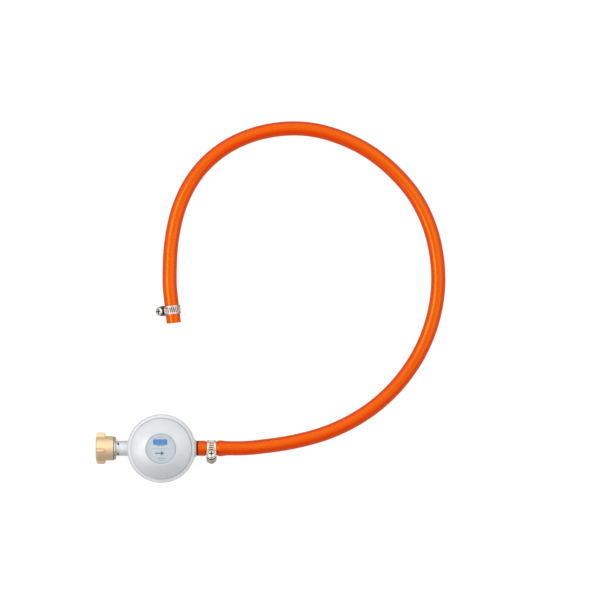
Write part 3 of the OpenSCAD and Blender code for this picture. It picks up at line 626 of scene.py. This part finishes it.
def make_band(name, band_r, tail, steel, place):
    """Two layers of one strip: the outer one runs on past the screw as the tail, with embossed worm slots whose
    floors are painted dark as shade.
    """
    out_r = band_outside(band_r)
    step = math.degrees(SLOT_PITCH / out_r)
    slots = []
    a = step - BAND_LAP
    while a <= tail - step:
        slots.append(a)
        a += step

    def slot_depth(a, w):
        """1 on a slot's floor, 0 outside it."""
        near = min(slots, key=lambda s: abs(a - s))
        along = math.radians(a - near) * out_r
        x = w * math.cos(SLOT_SLANT) + along * math.sin(SLOT_SLANT)
        y = along * math.cos(SLOT_SLANT) - w * math.sin(SLOT_SLANT)
        dx, dy = max(abs(x) - SLOT_L / 2 + SLOT_CORNER, 0), max(abs(y) - SLOT_W / 2 + SLOT_CORNER, 0)
        return ramp(math.hypot(dx, dy) - SLOT_CORNER, -0.16, 0.1, 1, 0)

    angles = [-BAND_LAP + step * k / 10 for k in range(int(10 * (tail + BAND_LAP) / step) + 1)]
    angles += [tail - 0.3, tail, tail + 0.25]
    rest = 360 - BAND_LAP - tail  # where the band has one layer
    angles += [tail + rest * k / 12 for k in range(1, 12)] + [360 - BAND_LAP - 0.25]
    angles.sort()
    half = BAND_W / 2
    widths = [-half, -half + 0.08, -half + 0.3] + [-half + 0.6 + (BAND_W - 1.2) * k / 26 for k in range(27)]
    widths += [half - 0.3, half - 0.08, half]

    def point(w, r, a):
        return (w, r * math.sin(math.radians(a)), r * math.cos(math.radians(a)))

    rows, deep = [], []
    for w in widths:
        edge = ramp(half - abs(w), 0, 0.3, BAND_EDGE_R, 0)
        row, depths = [], []
        for a in angles:
            doubled = -BAND_LAP <= a <= tail
            depth = slot_depth(a, w) if doubled and a < tail - 0.6 * step else 0
            top = out_r if doubled else band_r + BAND_T
            depths.append(depth)
            row.append(point(w, top - edge - SLOT_DEPTH * depth, a))
        rows.append(row)
        deep.append(depths)
    for w in (half, half / 2, -half / 2, -half):
        rows.append([point(w, band_r, a) for a in angles])

    def slot_floor_painted_shade(i, j):
        if i >= len(widths) - 1:
            return False
        k = (j + 1) % len(angles)
        return min(deep[i][j], deep[i + 1][j], deep[i][k], deep[i + 1][k]) > SLOT_SHADE_PAINTED_FROM

    return moved(ring_grid(name, rows, [steel, PAINTED_SHADE_STEEL], slot_floor_painted_shade, sharp=40), place)


def make_housing(name, band_r, paint_front_shade, place):
    """The arch over the worm, with pressed ribs across its back and a rounded end. The ribs' grooves take painted
    shade, and the third argument paints shade on the front and its end face.
    """
    axis_z = worm_height(band_r)
    half = HOUSING_W / 2
    # Positions along the screw, each with how far the arch's skin lies inside its full size
    ys = [(-HOUSING_BACK, 1.3), (-5.45, 0.85), (-5.1, 0.4), (-4.6, 0.12), (-4.1, 0.0)]
    # dark lists the faces painted dark as shade: the ribs' grooves, and the front
    dark = []
    for mid in (-3.2, -0.4, 2.4):
        dark += [len(ys) + 1, len(ys) + 2]
        ys += [(mid - 0.65, 0.0), (mid - 0.45, 0.2), (mid, 0.35), (mid + 0.45, 0.2), (mid + 0.65, 0.0)]
    ys += [(3.9, 0.0), (4.25, 0.08), (HOUSING_FRONT, 0.3)]
    painted_shade_from = 0.2 if paint_front_shade else 3.0  # the front is painted dark as the head's shade
    dark += [i for i in range(len(ys) - 1) if ys[i][0] > painted_shade_from]
    loops = []
    for y, inset in ys:
        r = half - inset
        low = LEG_Z + (0.5 * inset if y < -4.5 else 0)
        knee = (low + axis_z) / 2
        outline = [(r, low), (r, knee)] + arc(0, axis_z, r, 0, 180, 20) + [(-r, knee), (-r, low)]
        loops.append([(x, y, z) for x, z in outline])
    housing = loft(name, loops, [CLAMP, PAINTED_SHADE_STEEL], sharp=40)
    for i in dark:
        for j in range(len(loops[0])):
            housing.data.polygons[i * len(loops[0]) + j].material_index = 1
    # the front end face takes painted shade together with the front
    housing.data.polygons[-1].material_index = int(paint_front_shade)

    def rod(r, low, high, steps, turn):
        """A cut from low to high, turned into its place."""
        return moved(turned("cut", [(0, low), (r, low), (r, high), (0, high)], along_z, steps=steps), turn)

    along_screw = Matrix.Translation((0, 0, axis_z)) @ turn_by(-90, "X")
    along_hose = turn_by(90, "Y")
    tail_hole_r, gap = 1.7, 0.05
    reach = BAND_W / 2 + gap
    for cut in (
        rod(WORM_R + WORM_GAP, -HOUSING_BACK + HOUSING_END, HOUSING_FRONT + 1, 48, along_screw),
        rod(tail_hole_r, -HOUSING_BACK - 1, HOUSING_FRONT, 48, along_screw),
        rod(band_outside(band_r) + gap, -reach, reach, 96, along_hose),
    ):
        combine(housing, cut, "DIFFERENCE")
    combine(housing, rod(band_r, -half - 1, half + 1, 96, along_hose), "DIFFERENCE", sharp=40)
    return moved(housing, place)


def make_screw(name, band_r, neck, place):
    """Worm with one helical ridge, and a round head with a cross recess, neck millimetres off the housing. The neck
    and the recess are painted dark as shade.
    """
    head_y = HEAD_Y + neck
    top = head_y + HEAD_T

    def ring(y, r, ridge=0):
        """A level ring of radius r, or up to the worm's radius on the ridge where ridge is 1."""
        loop = []
        for a in full_turn(SCREW_SIDES):
            phase = (y / SLOT_PITCH - a / (2 * math.pi)) % 1.0
            out = r + (WORM_R - r) * ramp(abs(phase - 0.5), 0.12, 0.32, 1, 0) * ridge
            loop.append((out * math.cos(a), out * math.sin(a), y))
        return loop

    loops = [ring(y, r) for y, r in ((-HOUSING_BACK, 1.3), (-5.35, 1.6), (-4.35, 1.6))]
    for k in range(WORM_RINGS):
        y = WORM_FROM + (WORM_TO - WORM_FROM) * k / (WORM_RINGS - 1)
        loops.append(ring(y, WORM_ROOT_R, ramp(y, WORM_FROM, WORM_FROM + 1.2, 0, 1)))
    neck_ring = len(loops)
    loops += [ring(y, r) for y, r in (
        (3.62, WORM_R), (head_y - 0.02, WORM_R), (head_y, HEAD_R - 0.25), (head_y + 0.12, HEAD_R - 0.06),
        (head_y + 0.3, HEAD_R), (top - 0.95, HEAD_R), (top - 0.62, HEAD_R - 0.12), (top - 0.3, HEAD_R - 0.42),
        (top - 0.1, HEAD_R - 0.85), (top - 0.02, HEAD_R - 1.3), (top, 1.5),
    )]
    screw = loft(name, loops, [SCREW, PAINTED_SHADE_STEEL], sharp=40)
    # painted shade: the neck under the head is dark, for the shadow between head and housing
    for i in range((neck_ring - 1) * SCREW_SIDES, (neck_ring + 1) * SCREW_SIDES):
        screw.data.polygons[i].material_index = 1
    for degrees in (0, 90):
        # a tapered groove, wide at the face and narrow at its floor, whose faces take painted shade
        groove = loft("cut", [
            rectangle(half_l, half_w, z)
            for half_l, half_w, z in ((2.0, 0.35, top - 1.3), (2.75, 0.6, top - 0.2), (3.0, 0.75, top + 0.5))
        ], second=True)
        combine(screw, moved(groove, turn_by(degrees, "Z")), "DIFFERENCE", sharp=40)
    upright = Matrix.Translation((0, 0, worm_height(band_r))) @ turn_by(-90, "X")
    return moved(screw, place @ upright)


NEAR_PLACE = Matrix.Translation((52.3, 0, AXIS_H)) @ turn_by(54, "X")
FAR_PLACE = Matrix.Translation(TIP - TIP_DIR * 13.8) @ turn_by(TIP_HEADING, "Z") @ turn_by(130, "X")
clamp_pieces = []
for end, band_r, tail, neck, paint_front_shade, steel, place in (
    ("near", 7.2, 250, 0, False, CLAMP, NEAR_PLACE),
    ("far", 7.55, 225, 1.5, True, CLAMP_PAINTED_REFLECTION, FAR_PLACE),
):
    band = make_band(f"{end}_band", band_r, tail, steel, place)
    housing = make_housing(f"{end}_screw_housing", band_r, paint_front_shade, place)
    worm_screw = make_screw(f"{end}_worm_screw", band_r, neck, place)
    stands_for(band, "regulator", "clamp_steel", f"{end}_clamp_band")
    stands_for(housing, "regulator", "clamp_steel", f"{end}_clamp_housing")
    stands_for(worm_screw, f"{end}_screw", "screw_steel", f"{end}_clamp_screw")
    clamp_pieces += [band, housing, worm_screw]

[tuple(c * MM for c in p) for p in hose_line]

# ---------------------------------------------------------------- regulator
BASE_R, RIM_R, RIM_EDGE_R, STEM_R, STEM_END_X = 26, 35.8, 1.2, 7.75, -45.2
WELL_R, FLANGE_R, CLAMP_Z = 31.74, 33.2, 23.9  # the well over the cover's flange, and where the diaphragm is clamped
POST_X, LEVER_PIN = (-12.5, -8.5), (-16, 10)  # the poppet's guide from x to x, and the lever's pin as x and z
FINE, COARSE = 144, 72  # sides of the round body and of the round pieces on the gas line


def make_body():
    """The casting with its rolled rim, stem and outlet, and inside it the lever's ears and the poppet's guide."""
    shell = turned(
        "regulator_shell",
        [(0, 0), (24.5, 0, 0.4), (BASE_R, 1.5, 1.0), (29, 16, 4.0), (RIM_R, 21.5, 1.6)]
        + arc(RIM_R - RIM_EDGE_R, 27.7, RIM_EDGE_R, 0, 62, 8)
        + [(35.05, 28.15), (34.65, 28.15), (34.55, 28.88)]  # a fine groove
        + [(33.6, 28.9, 0.5), (32.5, 29.15, 0.6), (WELL_R, 28.8, 0.1), (WELL_R, 27.2), (FLANGE_R, 27.2)]
        + [(FLANGE_R, CLAMP_Z), (27.5, CLAMP_Z), (26, 21.9), (26, 16), (23.83, 5.5), (21.83, 3.5), (0, 3.5)],
        along_z, [ZINC_BODY_PAINTED_LIGHT, PAINTED_SHADE_STEEL], steps=FINE,
    )
    stem = [
        (0, STEM_END_X), (STEM_R, STEM_END_X, 0.35), (STEM_R, -38.9), (7.6, -38.75), (7.6, -38.55), (7.85, -38.4),
        (7.85, -33.5), (STEM_R, -33.4), (STEM_R, -23.6), (0, -23.6),
    ]
    outlet = [(0, 23.4), (8.2, 23.4), (10.5, 31), (10.5, 33.5, 1.2), (8.2, 36.5, 0.7), (0, 36.5)]
    for profile in (stem, outlet):
        combine(shell, turned("cut", profile, along_x, steps=COARSE), "UNION")
    pin_x, pin_z = LEVER_PIN
    foot_z, ear_r, post_r = 2.6, 2.6, 4.15
    ear = [(pin_x + ear_r, foot_z)] + arc(pin_x, pin_z, ear_r, 0, 180, 15) + [(pin_x - ear_r, foot_z)]
    for y in (-2.9, 2.9):
        combine(shell, loft("cut", [[(x, y + t, z) for x, z in ear] for t in (-1, 1)]), "UNION")
    guide = [(post_r, foot_z)] + arc(0, AXIS_H, post_r, 0, 180, 18) + [(-post_r, foot_z)]
    post = loft("cut", [[(x, y, z) for y, z in guide] for x in POST_X])
    combine(post, loft("cut", [rectangle(3, 2.4, z, x=sum(POST_X) / 2) for z in (3.5, 12.85)]), "DIFFERENCE")
    combine(shell, post, "UNION")
    for bore in (
        [(0, -46.2), (5.6, -46.2), (5.6, -35.2), (2.6, -35.2), (2.6, -30.5), (4.4, -30.5), (4.4, -21.8), (0, -21.8)],
        [(0, 22.5), (3.2, 22.5), (3.2, 24.5), (4.6, 24.5), (4.6, 38.1), (0, 38.1)],
        [(0, -13.5), (2.55, -13.5), (2.55, -7.5), (0, -7.5)],
    ):
        combine(shell, turned("cut", bore, along_x, steps=48), "DIFFERENCE")
    pin = turned("cut", [(0, -5), (1.02, -5), (1.02, 5), (0, 5)], along_z, steps=32)
    combine(shell, moved(pin, Matrix.Translation((pin_x, 0, pin_z)) @ turn_by(90, "X")), "DIFFERENCE")
    for notch in stakes():
        combine(shell, notch, "DIFFERENCE")
    return shell


def stakes():
    """Cuts for the punch marks round the end of the inlet stem, whose faces take painted shade."""
    for k in range(4):
        loops = [rectangle(half_x, half_y, r) for half_x, half_y, r in ((0.6, 1.2, 6.5), (0.85, 1.6, 8.4))]
        notch = loft("cut", loops, second=True)
        yield moved(notch, Matrix.Translation((STEM_END_X, 0, AXIS_H)) @ turn_by(-38 + 90 * k, "X"))


def make_cover():
    """A shallow spherical cap on a short wall, with a rounded shoulder between them and a bush for the screw."""
    wall_r, top_r, top_z, wall, cap_r, shoulder_r = 31.6, 16.6, 41.0, 2.4, 57.0, 0.45
    flange_r, flange_low_z, flange_high_z = 33.18, 25.2, 27.18
    label_r, label_z, screw_r, bush_r, bush_z = 16.05, 40.18, 12.05, 14, 35.18
    ball_z = top_z - math.sqrt(cap_r**2 - top_r**2)
    fold_x = wall_r - shoulder_r
    fold_z = ball_z + math.sqrt((cap_r - shoulder_r) ** 2 - fold_x**2)
    turn = math.asin(fold_x / (cap_r - shoulder_r))

    def cap(ball_r, first, last, steps):
        angles = [first + (last - first) * i / steps for i in range(steps + 1)]
        return [(ball_r * math.sin(a), ball_z + ball_r * math.cos(a)) for a in angles]

    shoulder = [
        (fold_x + shoulder_r * math.cos(a), fold_z + shoulder_r * math.sin(a))
        for a in ((math.pi / 2 - turn) * i / 8 for i in range(8))
    ]
    under_r, under_z = cap_r - wall, top_z - wall
    profile = [
        (flange_r, flange_low_z), (flange_r, flange_high_z), (wall_r, flange_high_z), *shoulder,
        *cap(cap_r, turn, math.asin(top_r / cap_r), 22),
        (label_r, top_z, 0.15), (label_r, label_z), (screw_r, label_z), (screw_r, bush_z), (bush_r, bush_z),
        (bush_r, under_z),
        *cap(under_r, math.acos((under_z - ball_z) / under_r), math.asin((wall_r - wall) / under_r), 12),
        (wall_r - wall, flange_low_z),
    ]
    return turned("dome_cover", profile, along_z, [ZINC], steps=FINE, closed=True, sharp=40)


def make_label():
    """A disc with rounded edges and a fine round groove."""
    low_z, groove_z, top_z = 40.2, 40.78, 41.0
    profile = [
        (0, low_z), (15.45, low_z, 0.1), (15.45, 40.95, 0.25), (11.82, top_z, 0.08), (11.7, groove_z, 0.08),
        (11.34, groove_z, 0.08), (11.22, top_z, 0.08), (0, top_z),
    ]
    return turned("round_label", profile, along_z, [LABEL], steps=FINE)


def make_nipple():
    """The collar and the tube that hold the union nut, staked into the stem."""
    profile = [
        (4.1, -57.0), (8.89, -57.0, 0.2), (8.89, -55.5, 0.2), (6.2, -55.5), (6.2, -48.0), (STEM_R, -48.0, 0.3),
        (STEM_R, -45.22, 0.25), (5.58, -45.22), (5.58, -35.7), (2.6, -35.7), (2.6, -53.0), (4.1, -53.0),
    ]
    nipple = turned("inlet_collar", profile, along_x, [PLATED, PAINTED_SHADE_STEEL], steps=COARSE, closed=True)
    for notch in stakes():
        combine(nipple, notch, "DIFFERENCE")
    return nipple


NUT_R, NUT_MOUTH_X, NUT_END_X = 12.7, -68.6, -47.6
THREAD_PITCH, THREAD_MINOR_R, THREAD_MAJOR_R = 1.814, 9.74, 10.9
THREAD_FROM_X, THREAD_TO_X, THREAD_RINGS = -59.62, -67.4, 52  # from the inside to the mouth
PAINTED_HIGHLIGHT_FROM_X, PAINTED_SHADE_FROM_X = -49.42, -50.12  # the nut's end is pale steel as a painted highlight, and the fine groove before it dark as painted shade
LUG_MOUTH_X, LUG_END_X, LUG_HALF_W = -68.3, -58.3, 1.85
LUGS, FIRST_LUG = 4, 8  # how many, and where the first one stands from straight up, in degrees
LUG_LEVELS = [  # distance from the axis, and how far the lug's outline is drawn in along and across the nut
    (11.4, -0.1, -0.5), (12.6, -0.1, -0.5), (12.8, 0, -0.28), (13.7, 0.1, -0.1), (14.6, 0.3, 0.1),
    (15.3, 0.6, 0.22), (15.9, 1.0, 0.36), (16.25, 1.45, 0.52), (16.42, 1.8, 0.75), (16.5, 2.3, 1.1),
]


def thread_radius(x, a):
    """The left-hand thread inside the nut, which fades out at both ends."""
    phase = (x / THREAD_PITCH + a / (2 * math.pi)) % 1.0
    groove = ramp(abs(phase - 0.5), 0.06, 0.40, 1, 0)
    fade = ramp(x, THREAD_TO_X, THREAD_TO_X + 1, 0, 1) * ramp(x, -60.4, -59.7, 1, 0)
    return THREAD_MINOR_R + (THREAD_MAJOR_R - THREAD_MINOR_R) * groove * fade


def lug_outline(inset_x, inset_y):
    """Rounded bar seen from outside: a small corner at the mouth, a full round towards the hose."""
    half = LUG_HALF_W - inset_y
    mouth_x, end_x = LUG_MOUTH_X + inset_x, LUG_END_X - inset_x
    corner = min(0.7, half * 0.8)
    return (
        arc(end_x - half, 0, half, -90, 90, 12)
        + arc(mouth_x + corner, half - corner, corner, 90, 180, 5)
        + arc(mouth_x + corner, -half + corner, corner, 180, 270, 5)
    )


def make_nut():
    """The brass union nut: turned outside, a thread inside, and four lugs."""
    steps = 96
    outer = round_corners([
        (10.94, NUT_MOUTH_X), (11.5, NUT_MOUTH_X), (NUT_R, -67.4, 0.6), (NUT_R, -50.25, 0.15), (11.9, -50.1),
        (11.9, -49.5), (12.4, -49.35, 0.2), (11.3, NUT_END_X, 0.7), (8.1, NUT_END_X, 0.3), (8.1, -48.3),
        (6.3, -48.3), (6.3, -54.2), (10.84, -54.2), (10.84, -58.8), (THREAD_MINOR_R, -59.6),
    ], False)
    rows = [[along_x(r, x, a) for a in full_turn(steps)] for r, x in outer]
    for k in range(1, THREAD_RINGS + 1):
        x = THREAD_FROM_X + (THREAD_TO_X - THREAD_FROM_X) * k / THREAD_RINGS
        rows.append([along_x(thread_radius(x, a), x, a) for a in full_turn(steps)])
    nut = ring_grid("brass_union_nut", rows, [BRASS, SCREW, BRASS_PAINTED_SHADE], sharp=38)
    for i, ((r1, x1), (r2, x2)) in enumerate(zip(outer, outer[1:])):
        r, x = (r1 + r2) / 2, (x1 + x2) / 2
        # finish 1 is the pale steel painted as highlight on the end, finish 2 the dark brass painted as shade in the
        # groove
        finish = 0
        if x > PAINTED_HIGHLIGHT_FROM_X and r > 8:
            finish = 1
        elif x > PAINTED_SHADE_FROM_X and r > 11:
            finish = 2
        for j in range(steps):
            nut.data.polygons[i * steps + j].material_index = finish
    for k in range(LUGS):
        turn = math.radians(FIRST_LUG + 360 / LUGS * k)
        across, out = math.cos(turn), math.sin(turn)
        loops = []
        for level_r, inset_x, inset_y in LUG_LEVELS:
            loop = []
            for x, y in lug_outline(inset_x, inset_y):
                z = math.sqrt(level_r * level_r - y * y)
                loop.append((x, y * across - z * out, AXIS_H + (y * out + z * across)))
            loops.append(loop)
        combine(nut, loft("cut", loops), "UNION", sharp=38)
    return nut


def make_spring():
    """The main spring as a round wire, closed at both ends."""
    low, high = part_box("main_spring")
    wire_r, end_share = 0.6, 0.8  # the wire's very ends are thinner
    turns, per_turn, sides = 5, 40, 14
    mean_r = (high.x - low.x) / 2 / MM - wire_r
    z1, z2 = low.z / MM + wire_r, high.z / MM - wire_r
    last = turns * per_turn
    line = []
    for k in range(last + 1):
        a = 2 * math.pi * k / per_turn
        line.append(Vector((mean_r * math.cos(a), mean_r * math.sin(a), ramp(k, 0, last, z1, z2))))
    loops = []
    for k, point in enumerate(line):
        along = line[min(k + 1, last)] - line[max(k - 1, 0)]
        loops.append(hoop(point, along.normalized(), wire_r * (end_share if k in (0, last) else 1), sides))
    return loft("coil_spring", loops, [SPRING])


def make_diaphragm():
    """The diaphragm as sectors of equal angle, from the hole round the stack out to the edge where the body clamps
    it. Two neighbours share an edge, which lies as far from both sectors' bisectors."""
    low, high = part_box("diaphragm")
    low_z, fold_top_z, edge_r = low.z / MM, high.z / MM, high.x / MM
    hole_r, rubber_t, sectors, steps = 1.95, 1.26, 6, 8
    fold_r, fold_rise, fold_in_half_w, fold_out_half_w = 22.2, 2, 2.35, 3.65
    top_z = low_z + rubber_t

    def fold(half_w, foot_z, crest_z, first, last):
        """Half an oval from angle first to last, which stands on foot_z."""
        angles = [first + (last - first) * k / 14 for k in range(15)]
        return [(fold_r + half_w * math.cos(a), foot_z + (crest_z - foot_z) * math.sin(a)) for a in angles]

    profile = [
        (hole_r, low_z), *fold(fold_in_half_w, low_z, low_z + fold_rise, math.pi, 0), (edge_r, low_z),
        (edge_r, top_z), *fold(fold_out_half_w, top_z, fold_top_z, 0, math.pi), (hole_r, top_z),
    ]
    for sector in range(sectors):
        middle = 2 * math.pi * sector / sectors
        loops = [
            [along_z(r, z, middle + math.pi / sectors * (2 * k / steps - 1)) for r, z in profile]
            for k in range(steps + 1)
        ]
        piece = loft(f"diaphragm_sector_{sector + 1}", loops, [RUBBER])
        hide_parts("diaphragm")
        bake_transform(piece)


stands_for(make_body(), "regulator", "zinc_casting", "body")
stands_for(make_cover(), "regulator", "zinc_casting", "cover")
stands_for(make_label(), "regulator", "label", "label_disc")
stands_for(make_nipple(), "regulator", "plated_steel", "inlet_nipple")
stands_for(make_nut(), "union_nut", "brass", "inlet_nut")
spring = stands_for(make_spring(), "regulator", "spring_steel", "main_spring")
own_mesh(spring)
make_diaphragm()

# ---------------------------------------------------------------- floor, world and lamps
WHITE = (1.0, 1.0, 1.0, 1.0)
FLOOR_HALF_W, FLOOR_Z = 12000.0, -0.15
FLOOR_GREY = 0.42  # what the floor gives back of the light that falls on it
FLOOR_GLOW = 0.80  # added where the camera sees the floor, so that it is white
FLOOR_IN_METAL = 0.25  # how much of that glow shows in metal
WORLD_LIGHT = 0.52  # the even light on matt surfaces
WORLD_SEEN = 0.80  # the studio in metal, and how it changes towards +X, +Y and +Z
WORLD_SLOPE = (-0.13, 0.35, 0.32)
FLAG_TOWARDS, FLAG_DEPTH = (0.10, -0.84, 0.53), 0.36  # a dark flag at the front, which metal shows
FLAG_FROM, FLAG_FULL = 0.68, 0.97  # cosines of the angles from the flag's middle where it begins and is darkest


def ray_kinds(nodes):
    """1 for camera rays, and 1 for the rays by which metal and glass show their background."""
    path = nodes.new("ShaderNodeLightPath")
    mirrored = nodes.math("MAXIMUM", path.outputs["Is Glossy Ray"], path.outputs["Is Transmission Ray"])
    return path.outputs["Is Camera Ray"], mirrored


def make_floor():
    """A wide matt floor, which takes the part's shadow and is white in the picture."""
    floor = build("floor", rectangle(FLOOR_HALF_W, FLOOR_HALF_W, FLOOR_Z), [(0, 1, 2, 3)])
    material = bpy.data.materials.new("studio_floor")
    nodes = Nodes(material)
    diffuse = nodes.new("ShaderNodeBsdfDiffuse")
    diffuse.inputs["Color"].default_value = (FLOOR_GREY, FLOOR_GREY, FLOOR_GREY, 1)
    glow = nodes.new("ShaderNodeEmission")
    glow.inputs["Color"].default_value = WHITE
    from_camera, mirrored = ray_kinds(nodes)
    share = nodes.math("MAXIMUM", from_camera, nodes.math("MULTIPLY", mirrored, FLOOR_IN_METAL))
    nodes.feed(glow.inputs["Strength"], nodes.math("MULTIPLY", share, FLOOR_GLOW))
    both = nodes.new("ShaderNodeAddShader")
    nodes.feed_all(both, diffuse.outputs[0], glow.outputs[0])
    nodes.feed(nodes.new("ShaderNodeOutputMaterial").inputs[0], both.outputs[0])
    floor.data.materials.append(material)


def make_world():
    """Even light, a white background, and in metal a studio that is brighter towards the softboxes."""
    world = bpy.data.worlds.new("studio")
    bpy.context.scene.world = world
    nodes = Nodes(world)
    looked_at = nodes.new("ShaderNodeTexCoord").outputs["Generated"]

    def towards(direction):
        node = nodes.new("ShaderNodeVectorMath", operation="DOT_PRODUCT")
        nodes.feed_all(node, looked_at, direction)
        return node.outputs["Value"]

    def background(strength):
        node = nodes.new("ShaderNodeBackground")
        node.inputs["Color"].default_value = WHITE
        nodes.feed(node.inputs["Strength"], strength)
        return node.outputs[0]

    def choose(share, first, second):
        node = nodes.new("ShaderNodeMixShader")
        nodes.feed_all(node, share, first, second)
        return node.outputs[0]

    level = nodes.math("ADD", towards(WORLD_SLOPE), WORLD_SEEN)
    flag = nodes.spread(towards(FLAG_TOWARDS), 1.0, 1.0 - FLAG_DEPTH, FLAG_FROM, FLAG_FULL, "SMOOTHSTEP")
    studio = background(nodes.math("MULTIPLY", level, flag))
    from_camera, mirrored = ray_kinds(nodes)
    seen = choose(from_camera, choose(mirrored, background(WORLD_LIGHT), studio), background(1.0))
    nodes.feed(nodes.new("ShaderNodeOutputWorld").inputs[0], seen)


def make_lamp(name, polar, azimuth, distance, size, level):
    """A softbox that faces the part: polar is its angle from straight up, azimuth from +X towards +Y.
    size is its width and its height, and level is how bright it alone makes a white floor."""
    lamp = bpy.data.lights.new(name, "AREA")
    lamp.shape = "RECTANGLE"
    lamp.size, lamp.size_y = size
    polar, azimuth = math.radians(polar), math.radians(azimuth)
    lamp.energy = level * math.pi**2 * distance**2 / math.cos(polar)
    holder = bpy.data.objects.new(name, lamp)
    towards = Vector((math.sin(polar) * math.cos(azimuth), math.sin(polar) * math.sin(azimuth), math.cos(polar)))
    holder.location = Vector((*PHOTO_CENTRE, 0)) + towards * distance
    holder.rotation_mode = "QUATERNION"
    holder.rotation_quaternion = towards.to_track_quat("Z", "Y")
    holder.visible_camera = False
    bpy.context.scene.collection.objects.link(holder)


make_floor()
make_world()
make_lamp("softbox_left", 42, 180, 2.4, (1.7, 1.1), 0.172)
make_lamp("softbox_back", 40, 92, 1.45, (2.4, 2.0), 0.099)
make_lamp("softbox_right", 42, 8, 1.6, (1.8, 1.4), 0.121)

bpy.context.scene.view_settings.view_transform = "Standard"
